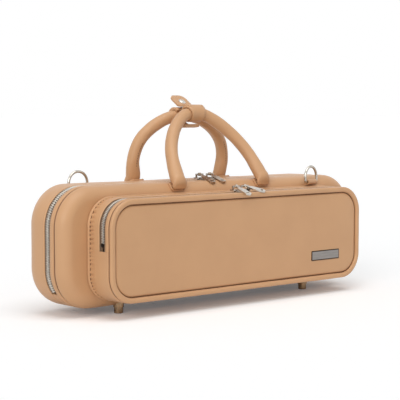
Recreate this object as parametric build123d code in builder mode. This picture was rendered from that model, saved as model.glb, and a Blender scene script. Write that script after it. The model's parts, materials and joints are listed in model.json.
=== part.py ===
from build123d import *
from math import acos, asin, atan2, cos, degrees, floor, radians, sin, sqrt, tan
import os

# Flute case: a leather-covered case in two zipped halves on a soft bottom hinge, with a zipped
# pocket on the front half, two carrying handles joined by a keeper, two strap rings and four
# feet. Millimetres. X runs along the case, Y to its rear, Z up from the floor under the feet.

# ---- driving sizes: case ------------------------------------------------------------------
case_length = 420.0
case_height = 122.0
corner_radius = 40.0          # corners of the outline, seen from the front
foot_height = 8.0
flank_depth = 14.0            # face of the lid to its seam
flank_radius = 13.2
gusset_depth = 11.5           # seam to the middle of the zipper
rear_depth = 46.5             # middle of the zipper to the rear face
end_round = 34.0              # rear ends, seen from above
top_round = 12.0              # rear edges, seen from the end
skin = 1.2                    # leather
padding = 5.0
lining = 1.2
lay_gap = 0.1                 # between one layer and the next
fit_gap = 0.3                 # between pieces that move past each other
part_gap = 0.15               # half the slit between leaves that part at a fold
seam_gap = 0.8                # open groove along the lid's seam
cord_sink = 0.7               # seam cord below the leather
hinge_rise = 15.5             # the zipper ends this far above the bottom

# ---- driving sizes: pocket ----------------------------------------------------------------
pocket_end_gap = 30.25        # end of the case to the end of the pocket
pocket_rise = 8.0             # bottom of the case to the bottom of the pocket
pocket_top_gap = 11.2         # top of the pocket to the top of the case
pocket_depth = 36.0           # face of the lid to the middle of the front piping
pocket_corner = 28.0
pocket_zip_back = 12.5        # front piping to the middle of the pocket zipper
pocket_wall = 2.0
piping_width = 6.0
piping_depth = 5.0
piping_roll = 2.4             # roundness of the piping
panel_thick = 3.4
panel_roll = 2.4
panel_back = 1.6              # panel behind the crest of the piping
flex_height = 60.0            # the pocket front folds this far above the case bottom
welt_width = 3.4
welt_depth = 3.4
welt_stand = 1.0              # welt outside the pocket's wall
welt_roll = 1.1

# ---- driving sizes: zippers ---------------------------------------------------------------
tape_thick = 0.8
tape_width = 8.0
tape_sink = 1.3               # leather surface to the top of the tape
chain_slot = 0.5              # half the slot that the slider's post runs in
chain_half = 3.0              # middle of the zipper to the outside of a row of teeth
tooth_pitch = 4.0
tooth_long = 2.0
tooth_top = 1.1               # teeth above the leather
band_top = 0.4                # cord between the teeth, below the leather
leather_stop = 4.6            # middle of the zipper to the edge of the leather
slider_length = 12.0
slider_half = 4.2
slider_plate = 1.4
slider_flange = 0.8
slider_gap = 0.25
slider_wing = 1.1
wing_rear = 0.9               # under the rear tape the wing is only this wide
post_thick = 0.4
bridge_rise = 3.2             # slider plate to the middle of the pull's bar
bridge_radius = 0.8
bridge_span = 9.0
bridge_post = 1.5
pull_width = 8.0
pull_thick = 1.5
pull_knuckle = 1.75
pull_neck = 3.0
pull_shoulder = 9.0
pull_slot_length = 4.6
pull_slot_width = 2.2
pin_clearance = 0.06
main_pull_length = 25.0
main_slider_x = -1.5
main_slider_step = 15.0
pocket_pull_length = 23.0
pocket_pull_yaw = 42.0        # the right pull of the pocket lies turned to the right
pocket_slider_x = 5.0
pocket_slider_step = 12.5

# ---- driving sizes: handles and keeper ------------------------------------------------------
tube_radius = 6.75
ball_lift = 0.35              # handle end above the leather it turns on
front_lean = 32.3             # handle planes from upright, rearwards
rear_lean = -7.8
front_seat_turn = 33.5        # where the handle ends sit round the top edge, from upright
rear_seat_turn = 40.0
front_half_span = 61.1
rear_half_span = 63.3
front_splay = -8.6            # legs from upright in the handle's own plane, outwards
rear_splay = 7.8
front_straight = 13.8
rear_straight = 11.0
front_shoulder_radius = 89.6
rear_shoulder_radius = 42.1
front_shoulder_turn = 47.2
rear_shoulder_turn = 57.7
patch_width = 22.0
patch_thick = 1.6
patch_top_turn = 4.0          # the patches start this far round the top edge
front_patch_turn = 70.0
rear_patch_turn = 90.0
rear_patch_drop = 22.0
keeper_width = 21.0
keeper_leather = 2.2
keeper_slack = 0.2
keeper_fold = 14.0            # middle of the sleeve to the fold of the flap
flap_length = 15.0
flap_rise = 38.0
flap_corner = 7.0
strap_shift = -3.0            # the strap sits off to the left of the sleeve
strap_over = 45.0             # how far the strap reaches over the top of the rear handle
strap_leave = 52.0            # where it leaves the rear handle, from straight below
strap_reach = 15.5            # its loose end in front of the rear handle
strap_hang = 9.2              # and below the middle of the rear handle
snap_radius = 3.5
snap_thick = 1.3
snap_place = 5.5              # fold of the flap to the middle of the snap
stud_radius = 3.0
stud_height = 0.5

# ---- driving sizes: rings, feet, plate ------------------------------------------------------
ring_x = 136.0
ring_wire = 1.5
ring_bow = 12.0               # centre line of the ring's bow
ring_leg = 5.7                # bar to the start of the bow
ring_corner = 2.6
ring_drop = 6.5               # top of the case to the ring's bar
front_ring_stand = 2.7        # face of the case to the ring's bar
rear_ring_stand = 1.7
front_ring_yaw = 12.0
tab_width = 17.0
tab_radius = 3.4
foot_x = 134.5
foot_inset = 8.5              # face of the case to the middle of a foot
foot_radius = 4.6
foot_neck = 3.8
foot_flange = 5.4
foot_flange_thick = 1.6
plate_x = 123.0
plate_z = 36.2
plate_length = 45.0
plate_width = 11.0
plate_thick = 1.2
plate_corner = 1.0

# ---- driving sizes: fitted tray -------------------------------------------------------------
tray_front = 12.0             # middle of the zipper to the face of the tray
body_trough_length = 352.0
body_trough_radius = 15.0
head_trough_length = 226.0
head_trough_radius = 13.5
foot_trough_length = 110.0
foot_trough_radius = 16.0
trough_gap = 7.0

# ---- places worked out from the sizes -------------------------------------------------------
case_bottom = foot_height
case_top = case_bottom + case_height
case_mid = (case_bottom + case_top) / 2
pocket_length = case_length - 2 * pocket_end_gap
pocket_height = case_height - pocket_rise - pocket_top_gap
bar_height = tooth_top + slider_gap + slider_plate + bridge_rise


def drape_angle(run, drop, round_radius):
    """Slope of a pull that lies on a rounded edge, run ahead of its bar and drop below it."""
    reach = sqrt(run * run + drop * drop)
    lift = round_radius + pull_thick / 2 + fit_gap
    return degrees(atan2(drop, run) - asin(lift / reach))


main_drape = drape_angle(gusset_depth + flank_depth - flank_radius, bar_height + flank_radius,
                         flank_radius)
pocket_drape = drape_angle(pocket_zip_back + piping_depth / 2 - piping_roll,
                           bar_height + piping_roll, piping_roll)

ball_reach = top_round + ball_lift + tube_radius
pull_reach = pocket_pull_length * cos(radians(pocket_drape))
front_reach = flank_depth + pocket_depth - pocket_zip_back + pull_reach
rear_reach = (gusset_depth + rear_depth - top_round + ball_reach * sin(radians(rear_seat_turn))
              + tube_radius)
seam_y = (front_reach - rear_reach) / 2
lid_face = seam_y - flank_depth
zip_y = seam_y + gusset_depth
rear_face = zip_y + rear_depth
pocket_front = lid_face - pocket_depth
pocket_zip_y = pocket_front + pocket_zip_back
pocket_bottom = case_bottom + pocket_rise
pocket_top = pocket_bottom + pocket_height
pocket_mid = (pocket_bottom + pocket_top) / 2
flex_z = case_bottom + flex_height
hinge_z = case_bottom + hinge_rise
section_turns = (0, 22, 42, 56, 67, 76, 82)

os.makedirs("parts", exist_ok=True)


def keep_part(builder, label):
    """Name a finished piece and write it."""
    builder.part.label = label
    export_step(builder.part, f"parts/{label}.step")


def upright(y, height=case_mid):
    """Upright plane at depth y: x along the case, y up, facing the front."""
    return Plane(origin=(0, y, height), x_dir=(1, 0, 0), z_dir=(0, -1, 0))


def across(x):
    """Upright plane across the case at x: x to the rear, y up."""
    return Plane(origin=(x, 0, 0), x_dir=(0, 1, 0), z_dir=(1, 0, 0))


def case_outline(inset, mode=Mode.ADD):
    RectangleRounded(case_length - 2 * inset, case_height - 2 * inset, corner_radius - inset,
                     mode=mode)


def pocket_outline(inset, mode=Mode.ADD):
    RectangleRounded(pocket_length - 2 * inset, pocket_height - 2 * inset, pocket_corner - inset,
                     mode=mode)


def case_ring(outer, inner):
    case_outline(outer)
    case_outline(inner, mode=Mode.SUBTRACT)


def pocket_ring(outer, inner):
    pocket_outline(outer)
    pocket_outline(inner, mode=Mode.SUBTRACT)


def keep_above(level):
    split(bisect_by=Plane.XY.offset(level), keep=Keep.TOP)


def keep_below(level):
    split(bisect_by=Plane.XY.offset(level), keep=Keep.BOTTOM)


# ---- forms that several pieces are cut from -------------------------------------------------
def lid_form(inset, back):
    """Solid block of the lid's shape, moved in by inset, from its face to depth back."""
    with BuildPart() as form:
        with BuildSketch(upright(back)):
            case_outline(inset)
        extrude(amount=back - lid_face - inset)
        front = form.faces().sort_by(Axis.Y)[0]
        fillet(front.edges(), radius=flank_radius - inset)
    return form.part


def rear_form(inset, front, smooth=False):
    """Solid block of the rear half's shape, moved in by inset, from depth front to its face."""
    end_start = rear_face - end_round
    top_start = rear_face - top_round
    end_left = end_round - inset
    top_left = top_round - inset
    with BuildPart() as form:
        with BuildSketch(upright(end_start)):
            case_outline(inset)
        extrude(amount=end_start - front)
        for turn in section_turns:
            depth = end_start + end_left * sin(radians(turn))
            end_inset = inset + end_left * (1 - cos(radians(turn)))
            past = max(0.0, depth - top_start)
            top_inset = inset + top_left - sqrt(top_left ** 2 - past ** 2)
            with BuildSketch(upright(depth)):
                RectangleRounded(case_length - 2 * end_inset, case_height - 2 * top_inset,
                                 corner_radius - top_inset)
        loft(ruled=not smooth)
    return form.part


lid_block = lid_form(0, seam_y)
rear_block = rear_form(0, zip_y + leather_stop, smooth=True)

# ---- rear half: leather, padding, lining, tray ----------------------------------------------
rear_lip = zip_y + leather_stop
tape_back = zip_y + chain_slot + tape_width
pad_inset = skin + lay_gap
lining_inset = pad_inset + padding + lay_gap
tray_inset = lining_inset + lining + lay_gap

rear_skin_core = rear_form(skin, rear_lip)
with BuildPart() as rear_shell:
    add(rear_block)
    add(rear_skin_core, mode=Mode.SUBTRACT)
keep_part(rear_shell, "rear_shell")

rear_pad_lip = tape_back + fit_gap
rear_pad_outer = rear_form(pad_inset, rear_pad_lip)
rear_pad_core = rear_form(pad_inset + padding, rear_pad_lip)
with BuildPart() as rear_padding:
    add(rear_pad_outer)
    add(rear_pad_core, mode=Mode.SUBTRACT)
keep_part(rear_padding, "rear_padding")

rear_lining_outer = rear_form(lining_inset, rear_pad_lip)
rear_lining_core = rear_form(lining_inset + lining, rear_pad_lip)
with BuildPart() as rear_lining:
    add(rear_lining_outer)
    add(rear_lining_core, mode=Mode.SUBTRACT)
keep_part(rear_lining, "rear_lining")

tray_face = zip_y + tray_front
tray_block = rear_form(tray_inset, tray_face)
lower_trough_z = case_mid - trough_gap / 2 - body_trough_radius
upper_trough_z = case_mid + trough_gap / 2 + foot_trough_radius
pair_length = head_trough_length + trough_gap + foot_trough_length
head_trough_x = -pair_length / 2 + head_trough_length / 2
foot_trough_x = pair_length / 2 - foot_trough_length / 2
troughs = (
    (0.0, lower_trough_z, body_trough_length, body_trough_radius),
    (head_trough_x, upper_trough_z, head_trough_length, head_trough_radius),
    (foot_trough_x, upper_trough_z, foot_trough_length, foot_trough_radius),
)
with BuildPart() as fitted_tray:
    add(tray_block)
    for middle, level, length, radius in troughs:
        with BuildSketch(across(middle - length / 2)):
            with Locations((tray_face + radius / 2, level)):
                Circle(radius)
            with Locations((tray_face, level)):
                Rectangle(radius, 2 * radius)
        extrude(amount=length, mode=Mode.SUBTRACT)
keep_part(fitted_tray, "fitted_tray")


# ---- zippers ----------------------------------------------------------------------------------
def arch_line(half_length, half_height, radius, low):
    """Outline from its low left end over the top to its low right end, in outline coordinates."""
    corner_x = half_length - radius
    corner_z = half_height - radius
    drop = degrees(asin((-corner_z - low) / radius)) if low < -corner_z else 0.0
    side_low = max(low, -corner_z)
    with BuildLine() as arch:
        if drop:
            CenterArc((-corner_x, -corner_z), radius, 180 + drop, -drop)
        Line((-half_length, side_low), (-half_length, corner_z))
        CenterArc((-corner_x, corner_z), radius, 180, -90)
        Line((-corner_x, half_height), (corner_x, half_height))
        CenterArc((corner_x, corner_z), radius, 90, -90)
        Line((half_length, corner_z), (half_length, side_low))
        if drop:
            CenterArc((corner_x, -corner_z), radius, 0, -drop)
    return arch.wires()[0]


def tooth_places(arch, first):
    """Places of the teeth along an arch, the first one at distance first from its end."""
    count = floor((arch.length - first - tooth_long) / tooth_pitch) + 1
    places = []
    for index in range(count):
        along = (first + index * tooth_pitch) / arch.length
        spot = arch.position_at(along)
        way = arch.tangent_at(along)
        places.append(Location((spot.X, spot.Y), degrees(atan2(way.Y, way.X))))
    return places


tooth_height = tooth_top + tape_sink
tooth_mid = (tooth_top - tape_sink) / 2
case_arch = arch_line(case_length / 2 + tooth_mid, case_height / 2 + tooth_mid,
                      corner_radius + tooth_mid, hinge_z - case_mid + tooth_pitch / 2)
pocket_arch = arch_line(pocket_length / 2 + tooth_mid, pocket_height / 2 + tooth_mid,
                        pocket_corner + tooth_mid, flex_z - pocket_mid + tooth_pitch / 2)


def zip_tape(label, ring, y, side, height, low):
    """One tape down to height low: side -1 is the front one, 1 the rear one."""
    near = y + side * chain_slot
    with BuildPart() as tape:
        with BuildSketch(upright(max(near, near + side * tape_width), height)):
            ring(tape_sink, tape_sink + tape_thick)
        extrude(amount=tape_width)
        keep_above(low)
    keep_part(tape, label)


def zip_teeth(label, ring, places, y, side, height, low):
    """One row of teeth, joined by the cord along its tape's edge."""
    near = y + side * chain_slot
    far = y + side * chain_half
    with BuildPart() as teeth:
        with BuildSketch(upright(max(near, far), height)):
            ring(band_top, tape_sink)
            with Locations(*places):
                Rectangle(tooth_long, tooth_height)
        extrude(amount=abs(far - near))
        keep_above(low)
    keep_part(teeth, label)


zip_tape("rear_zip_tape", case_ring, zip_y, 1, case_mid, hinge_z)
zip_tape("lid_zip_tape", case_ring, zip_y, -1, case_mid, hinge_z)
zip_teeth("rear_zip_teeth", case_ring, tooth_places(case_arch, tooth_pitch), zip_y, 1,
          case_mid, hinge_z)
zip_teeth("lid_zip_teeth", case_ring, tooth_places(case_arch, tooth_pitch * 3 / 2), zip_y, -1,
          case_mid, hinge_z)

# ---- soft hinge along the bottom ------------------------------------------------------------
leaf_width = leather_stop - lay_gap - part_gap
with BuildPart() as rear_hinge_leaf:
    with BuildSketch(upright(rear_lip - lay_gap)):
        case_ring(0, skin)
    extrude(amount=leaf_width)
    keep_below(hinge_z - lay_gap)
keep_part(rear_hinge_leaf, "rear_hinge_leaf")

lid_lip = zip_y - leather_stop
with BuildPart() as lid_hinge_leaf:
    with BuildSketch(upright(zip_y - part_gap)):
        case_ring(0, skin)
    extrude(amount=leaf_width)
    keep_below(hinge_z - lay_gap)
keep_part(lid_hinge_leaf, "lid_hinge_leaf")

# ---- lid: leather, seam, gusset, padding, lining --------------------------------------------
lid_back = seam_y - seam_gap / 2
gusset_front = seam_y + seam_gap / 2
with BuildPart() as lid_shell:
    add(lid_form(0, lid_back))
    add(lid_form(skin, lid_back), mode=Mode.SUBTRACT)
keep_part(lid_shell, "lid_shell")

with BuildPart() as lid_seam_cord:
    with BuildSketch(upright(gusset_front)):
        case_ring(cord_sink, skin)
    extrude(amount=seam_gap)
keep_part(lid_seam_cord, "lid_seam_cord")

with BuildPart() as lid_gusset:
    with BuildSketch(upright(lid_lip)):
        case_ring(0, skin)
    extrude(amount=lid_lip - gusset_front)
keep_part(lid_gusset, "lid_gusset")

lid_pad_lip = zip_y - chain_slot - tape_width - fit_gap
with BuildPart() as lid_padding:
    add(lid_form(pad_inset, lid_pad_lip))
    add(lid_form(pad_inset + padding, lid_pad_lip), mode=Mode.SUBTRACT)
keep_part(lid_padding, "lid_padding")

with BuildPart() as lid_lining:
    add(lid_form(lining_inset, lid_pad_lip))
    add(lid_form(lining_inset + lining, lid_pad_lip), mode=Mode.SUBTRACT)
keep_part(lid_lining, "lid_lining")

# ---- pocket: welt, walls, lining, zipper ------------------------------------------------------
wall_back = lid_face - lay_gap
welt_front = wall_back - welt_depth
wall_start = welt_front - lay_gap
wall_inner = tape_sink - lay_gap
with BuildPart() as pocket_welt:
    with BuildSketch(upright(wall_back, pocket_mid)):
        pocket_ring(-welt_stand, welt_width - welt_stand)
    extrude(amount=welt_depth)
    crest = pocket_welt.faces().sort_by(Axis.Y)[0]
    fillet(crest.edges(), radius=welt_roll)
keep_part(pocket_welt, "pocket_welt")

wall_rear_lip = pocket_zip_y + leather_stop
with BuildPart() as pocket_rear_wall:
    with BuildSketch(upright(wall_start, pocket_mid)):
        pocket_ring(0, wall_inner)
    extrude(amount=wall_start - wall_rear_lip)
    keep_above(flex_z + part_gap)
keep_part(pocket_rear_wall, "pocket_rear_wall")

piping_back = pocket_front + piping_depth / 2
piping_crest = piping_back - piping_depth
wall_front_end = piping_back + lay_gap
with BuildPart() as pocket_lower_wall:
    with BuildSketch(upright(wall_start, pocket_mid)):
        pocket_ring(0, pocket_wall)
    extrude(amount=wall_start - wall_front_end)
    keep_below(flex_z - part_gap)
keep_part(pocket_lower_wall, "pocket_lower_wall")

wall_front_lip = pocket_zip_y - leather_stop
with BuildPart() as pocket_strip:
    with BuildSketch(upright(wall_front_lip, pocket_mid)):
        pocket_ring(0, wall_inner)
    extrude(amount=wall_front_lip - wall_front_end)
    keep_above(flex_z + part_gap)
keep_part(pocket_strip, "pocket_strip")

with BuildPart() as pocket_back_lining:
    with BuildSketch(upright(wall_back, pocket_mid)):
        pocket_outline(welt_width - welt_stand + lay_gap)
    extrude(amount=lining)
keep_part(pocket_back_lining, "pocket_back_lining")

fold_top = flex_z + part_gap
fold_low = flex_z - part_gap
zip_tape("pocket_rear_tape", pocket_ring, pocket_zip_y, 1, pocket_mid, fold_top)
zip_tape("pocket_front_tape", pocket_ring, pocket_zip_y, -1, pocket_mid, fold_top)
zip_teeth("pocket_rear_teeth", pocket_ring, tooth_places(pocket_arch, tooth_pitch),
          pocket_zip_y, 1, pocket_mid, fold_top)
zip_teeth("pocket_front_teeth", pocket_ring, tooth_places(pocket_arch, tooth_pitch * 3 / 2),
          pocket_zip_y, -1, pocket_mid, fold_top)


# ---- pocket front: piping and panel, in a flap and a fixed lower half -------------------------
def keep_side(upper):
    """Keep what lies above or below the pocket's fold."""
    if upper:
        keep_above(fold_top)
    else:
        keep_below(fold_low)


def pocket_piping(label, upper):
    """Rolled piping round the pocket front."""
    with BuildPart() as piping:
        with BuildSketch(upright(piping_back, pocket_mid)):
            pocket_ring(0, piping_width)
        extrude(amount=piping_depth)
        rim = piping.faces().sort_by(Axis.Y)[0]
        fillet(rim.edges(), radius=piping_roll)
        keep_side(upper)
    keep_part(piping, label)


def pocket_panel(label, upper):
    """Padded panel inside the piping."""
    with BuildPart() as panel:
        with BuildSketch(upright(piping_crest + panel_back + panel_thick, pocket_mid)):
            pocket_outline(piping_width + lay_gap)
        extrude(amount=panel_thick)
        face = panel.faces().sort_by(Axis.Y)[0]
        fillet(face.edges(), radius=panel_roll)
        keep_side(upper)
    keep_part(panel, label)


pocket_piping("pocket_piping_upper", True)
pocket_piping("pocket_piping_lower", False)
pocket_panel("pocket_panel_upper", True)
pocket_panel("pocket_panel_lower", False)

with BuildPart() as nameplate:
    with BuildSketch(upright(piping_crest + panel_back, case_bottom + plate_z)):
        with Locations((plate_x, 0)):
            RectangleRounded(plate_length, plate_width, plate_corner)
    extrude(amount=plate_thick)
    chamfer(nameplate.faces().sort_by(Axis.Y)[0].edges(), length=plate_thick / 3)
keep_part(nameplate, "nameplate")


# ---- sliders and pulls ------------------------------------------------------------------------
def zip_slider(label, x, y, surface):
    """Slider on a zipper that runs along X, open to the rear row, with its bridge on top."""
    plate_low = surface + tooth_top + slider_gap
    plate_high = plate_low + slider_plate
    flange_low = surface - tape_sink + slider_gap
    wing_high = surface - tape_sink - tape_thick - slider_gap
    wing_depth = chain_half + wing_rear
    bar_z = surface + bar_height
    with BuildPart() as slider:
        with BuildSketch(Plane.XY.offset(plate_low)):
            with Locations((x, y)):
                RectangleRounded(slider_length, 2 * slider_half, slider_half / 2)
        extrude(amount=slider_plate)
        with BuildSketch(Plane.XY.offset(flange_low)):
            with Locations((x, y - slider_half + slider_flange / 2)):
                Rectangle(slider_length - slider_half, slider_flange)
        extrude(amount=plate_high - flange_low)
        with BuildSketch(Plane.XY.offset(wing_high)):
            with Locations((x, y + wing_rear - wing_depth / 2)):
                Rectangle(slider_length - slider_wing, wing_depth)
        extrude(amount=-slider_wing)
        with BuildSketch(Plane.XY.offset(wing_high - slider_wing)):
            with Locations((x, y)):
                Rectangle(slider_length / 2, post_thick)
        extrude(amount=plate_high - wing_high + slider_wing)
        with BuildSketch(Plane.XY.offset(plate_low)):
            with Locations((x - bridge_span / 2, y), (x + bridge_span / 2, y)):
                Rectangle(bridge_post, 2 * bridge_radius)
        extrude(amount=bar_z + bridge_radius - plate_low)
        with BuildSketch(across(x - bridge_span / 2)):
            with Locations((y, bar_z)):
                Circle(bridge_radius)
        extrude(amount=bridge_span)
    keep_part(slider, label)


def zip_pull(label, x, y, surface, drape, yaw, length):
    """Pull tab with a knuckle round the slider's bar and a slot near its tip."""
    slope = radians(drape)
    turn = radians(yaw)
    bar = Vector(x, y, surface + bar_height)
    ahead = Vector(0, -cos(slope), -sin(slope))
    along = ahead * cos(turn) + Vector(1, 0, 0) * sin(turn)
    flat = Plane(origin=bar, x_dir=along, z_dir=(0, -sin(slope), cos(slope)))
    half = pull_width / 2
    neck = pull_neck / 2
    with BuildPart() as tab:
        with BuildSketch(flat):
            with BuildLine():
                Line((0, neck), (0, -neck))
                Line((0, -neck), (pull_knuckle + neck, -neck))
                Line((pull_knuckle + neck, -neck), (pull_shoulder, -half))
                Line((pull_shoulder, -half), (length - half, -half))
                ThreePointArc((length - half, -half), (length, 0), (length - half, half))
                Line((length - half, half), (pull_shoulder, half))
                Line((pull_shoulder, half), (pull_knuckle + neck, neck))
                Line((pull_knuckle + neck, neck), (0, neck))
            make_face()
            with Locations((length - half, 0)):
                SlotOverall(pull_slot_length, pull_slot_width, rotation=90, mode=Mode.SUBTRACT)
        extrude(amount=pull_thick / 2, both=True)
        with BuildSketch(across(x)):
            with Locations((bar.Y, bar.Z)):
                Circle(pull_knuckle)
        extrude(amount=neck, both=True)
        with BuildSketch(across(x)):
            with Locations((bar.Y, bar.Z)):
                Circle(bridge_radius + pin_clearance)
        extrude(amount=bridge_span, both=True, mode=Mode.SUBTRACT)
    keep_part(tab, label)


zippers = (
    ("main", main_slider_x, main_slider_step, zip_y, case_top, main_drape, 0.0,
     main_pull_length),
    ("pocket", pocket_slider_x, pocket_slider_step, pocket_zip_y, pocket_top, pocket_drape,
     pocket_pull_yaw, pocket_pull_length),
)
for zipper, middle, step, depth, surface, drape, right_yaw, length in zippers:
    for side, hand, yaw in ((-1, "left", 0.0), (1, "right", right_yaw)):
        place = middle + side * step / 2
        zip_slider(f"{zipper}_slider_{hand}", place, depth, surface)
        zip_pull(f"{zipper}_pull_{hand}", place, depth, surface, drape, yaw, length)


# ---- handles ----------------------------------------------------------------------------------
def seat_point(face, outward, round_radius, turn):
    """Depth and height of a handle's pivot beside a rounded top edge."""
    reach = round_radius + ball_lift + tube_radius
    depth = face - outward * round_radius + outward * reach * sin(radians(turn))
    level = case_top - round_radius + reach * cos(radians(turn))
    return depth, level


front_pivot_y, front_pivot_z = seat_point(lid_face, -1, flank_radius, front_seat_turn)
rear_pivot_y, rear_pivot_z = seat_point(rear_face, 1, top_round, rear_seat_turn)


def handle_plane(y, z, lean):
    """Plane of a handle: x along the case, y up its lean, facing the front."""
    return Plane(origin=(0, y, z), x_dir=(1, 0, 0),
                 z_dir=(0, -cos(radians(lean)), sin(radians(lean))))


front_plane = handle_plane(front_pivot_y, front_pivot_z, front_lean)
rear_plane = handle_plane(rear_pivot_y, rear_pivot_z, rear_lean)


def crown_of(half_span, splay, straight, shoulder_radius, shoulder_turn):
    """Start of the crown, its heading inwards from upright, its radius and its top."""
    enter = radians(-splay)
    leave = enter + radians(shoulder_turn)
    knee_x = half_span - straight * sin(enter)
    knee_z = straight * cos(enter)
    start_x = knee_x - shoulder_radius * (cos(enter) - cos(leave))
    start_z = knee_z + shoulder_radius * (sin(leave) - sin(enter))
    radius = start_x / cos(leave)
    return (start_x, start_z), leave, radius, start_z + radius * (1 - sin(leave))


def handle(label, plane, shape):
    """Rolled leather tube with rounded ends on its pivots."""
    half_span, splay, straight, shoulder_radius, shoulder_turn = shape
    crown_start, leave, crown_radius, top = crown_of(*shape)
    tilt = radians(splay)
    knee = (half_span + straight * sin(tilt), straight * cos(tilt))
    shoulder = (knee[0] - shoulder_radius * cos(tilt), knee[1] + shoulder_radius * sin(tilt))
    crown_turn = 90 - degrees(leave)
    with BuildPart() as tube:
        with BuildLine(plane) as half:
            Line((half_span, 0), knee)
            CenterArc(shoulder, shoulder_radius, -splay, shoulder_turn)
            CenterArc((0, top - crown_radius), crown_radius, degrees(leave), crown_turn)
        path = half.wires()[0]
        with BuildSketch(Plane(origin=path.position_at(0), z_dir=path.tangent_at(0))):
            Circle(tube_radius)
        sweep(path=path)
        with Locations(path.position_at(0)):
            Sphere(tube_radius)
        mirror(about=Plane.YZ)
    keep_part(tube, label)


front_shape = (front_half_span, front_splay, front_straight, front_shoulder_radius,
               front_shoulder_turn)
rear_shape = (rear_half_span, rear_splay, rear_straight, rear_shoulder_radius,
              rear_shoulder_turn)
front_crown_radius = crown_of(*front_shape)[2]
front_crown_top = crown_of(*front_shape)[3]
rear_crown_radius = crown_of(*rear_shape)[2]
rear_crown_top = crown_of(*rear_shape)[3]
front_crown = front_plane.from_local_coords(Vector(0, front_crown_top, 0))
rear_crown = rear_plane.from_local_coords(Vector(0, rear_crown_top, 0))

handle("front_handle", front_plane, front_shape)
handle("rear_handle", rear_plane, rear_shape)


# ---- handle patches -----------------------------------------------------------------------------
def handle_patches(label, half_span, pivot_y, pivot_z, face, outward, round_radius, low_turn,
                   drop, block):
    """Two stitched patches round the top edge, each with a dimple for the handle's end."""
    middle_y = face - outward * round_radius
    middle_z = case_top - round_radius
    inner = round_radius + lay_gap / 2
    outer = inner + patch_thick
    half_turn = (patch_top_turn + low_turn) / 2

    def spot(radius, turn, down=0.0):
        return (middle_y + outward * radius * sin(radians(turn)),
                middle_z + radius * cos(radians(turn)) - down)

    with BuildPart() as patches:
        for side in (-1, 1):
            with BuildSketch(across(side * half_span - patch_width / 2)):
                with BuildLine():
                    ThreePointArc(spot(outer, patch_top_turn), spot(outer, half_turn),
                                  spot(outer, low_turn))
                    ThreePointArc(spot(inner, patch_top_turn), spot(inner, half_turn),
                                  spot(inner, low_turn))
                    Line(spot(outer, patch_top_turn), spot(inner, patch_top_turn))
                    if drop:
                        Line(spot(outer, low_turn), spot(outer, low_turn, drop))
                        Line(spot(inner, low_turn, drop), spot(inner, low_turn))
                    Line(spot(outer, low_turn, drop), spot(inner, low_turn, drop))
                make_face()
            extrude(amount=patch_width)
        with Locations((-half_span, pivot_y, pivot_z), (half_span, pivot_y, pivot_z)):
            Sphere(tube_radius + fit_gap, mode=Mode.SUBTRACT)
        add(block, mode=Mode.SUBTRACT)
    keep_part(patches, label)


handle_patches("lid_handle_patches", front_half_span, front_pivot_y, front_pivot_z, lid_face,
               -1, flank_radius, front_patch_turn, 0.0, lid_block)
handle_patches("rear_handle_patches", rear_half_span, rear_pivot_y, rear_pivot_z, rear_face, 1,
               top_round, rear_patch_turn, rear_patch_drop, rear_block)

# ---- keeper -----------------------------------------------------------------------------------
sleeve_bore = tube_radius + keeper_slack
sleeve_outer = sleeve_bore + keeper_leather
sheet_top = front_crown.Z + sleeve_outer
sheet_width = keeper_width - keeper_slack * 2


def crown_arc(turn):
    """Stretch of the front handle's crown, turn degrees long."""
    with BuildLine(front_plane) as crown_line:
        CenterArc((0, front_crown_top - front_crown_radius), front_crown_radius,
                  90 - turn / 2, turn)
    return crown_line.wires()[0]


sleeve_turn = degrees(keeper_width / front_crown_radius)
sleeve_path = crown_arc(sleeve_turn)
bore_path = crown_arc(sleeve_turn * 3 / 2)
with BuildPart() as keeper_sleeve:
    with BuildSketch(Plane(origin=sleeve_path.position_at(0), z_dir=sleeve_path.tangent_at(0))):
        Circle(sleeve_outer)
    sweep(path=sleeve_path)
    with BuildSketch(Plane.XY.offset(sheet_top)):
        with Locations((0, front_crown.Y + keeper_fold / 2)):
            Rectangle(sheet_width, keeper_fold)
    extrude(amount=-keeper_leather)
    with BuildSketch(Plane(origin=bore_path.position_at(0), z_dir=bore_path.tangent_at(0))):
        Circle(sleeve_bore)
    sweep(path=bore_path, mode=Mode.SUBTRACT)
keep_part(keeper_sleeve, "keeper_sleeve")

fold_y = front_crown.Y + keeper_fold + part_gap
flap_plane = Plane(origin=(0, fold_y, sheet_top), x_dir=(1, 0, 0),
                   z_dir=(0, -sin(radians(flap_rise)), cos(radians(flap_rise))))
with BuildPart() as keeper_flap:
    with BuildSketch(flap_plane) as flap_outline:
        with Locations((0, flap_length / 2)):
            Rectangle(sheet_width, flap_length)
        fillet(flap_outline.vertices().group_by(Axis.Y)[-1], radius=flap_corner)
    extrude(amount=-keeper_leather)
keep_part(keeper_flap, "keeper_flap")

with BuildPart() as snap_cap:
    with BuildSketch(flap_plane.offset(-keeper_leather)):
        with Locations((0, snap_place)):
            Circle(snap_radius)
            Circle(snap_radius - snap_thick, mode=Mode.SUBTRACT)
    extrude(amount=-snap_thick)
    with BuildSketch(flap_plane.offset(-keeper_leather)):
        with Locations((0, snap_place)):
            Circle(snap_radius)
    extrude(amount=-snap_thick / 2)
keep_part(snap_cap, "snap_cap")

strap_edge = keeper_width / 2 + abs(strap_shift)
strap_drop = rear_crown_radius - sqrt(rear_crown_radius ** 2 - strap_edge ** 2)
strap_bore = tube_radius + strap_drop / 2 + keeper_slack
strap_y = rear_crown.Y
strap_z = rear_crown.Z - strap_drop / 2
strap_mid = strap_bore + keeper_leather / 2


def strap_spot(turn):
    """Point of the strap's middle line round the rear handle, turn degrees from the top
    towards the rear."""
    return Vector(strap_y + strap_mid * sin(radians(turn)),
                  strap_z + strap_mid * cos(radians(turn)))


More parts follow.
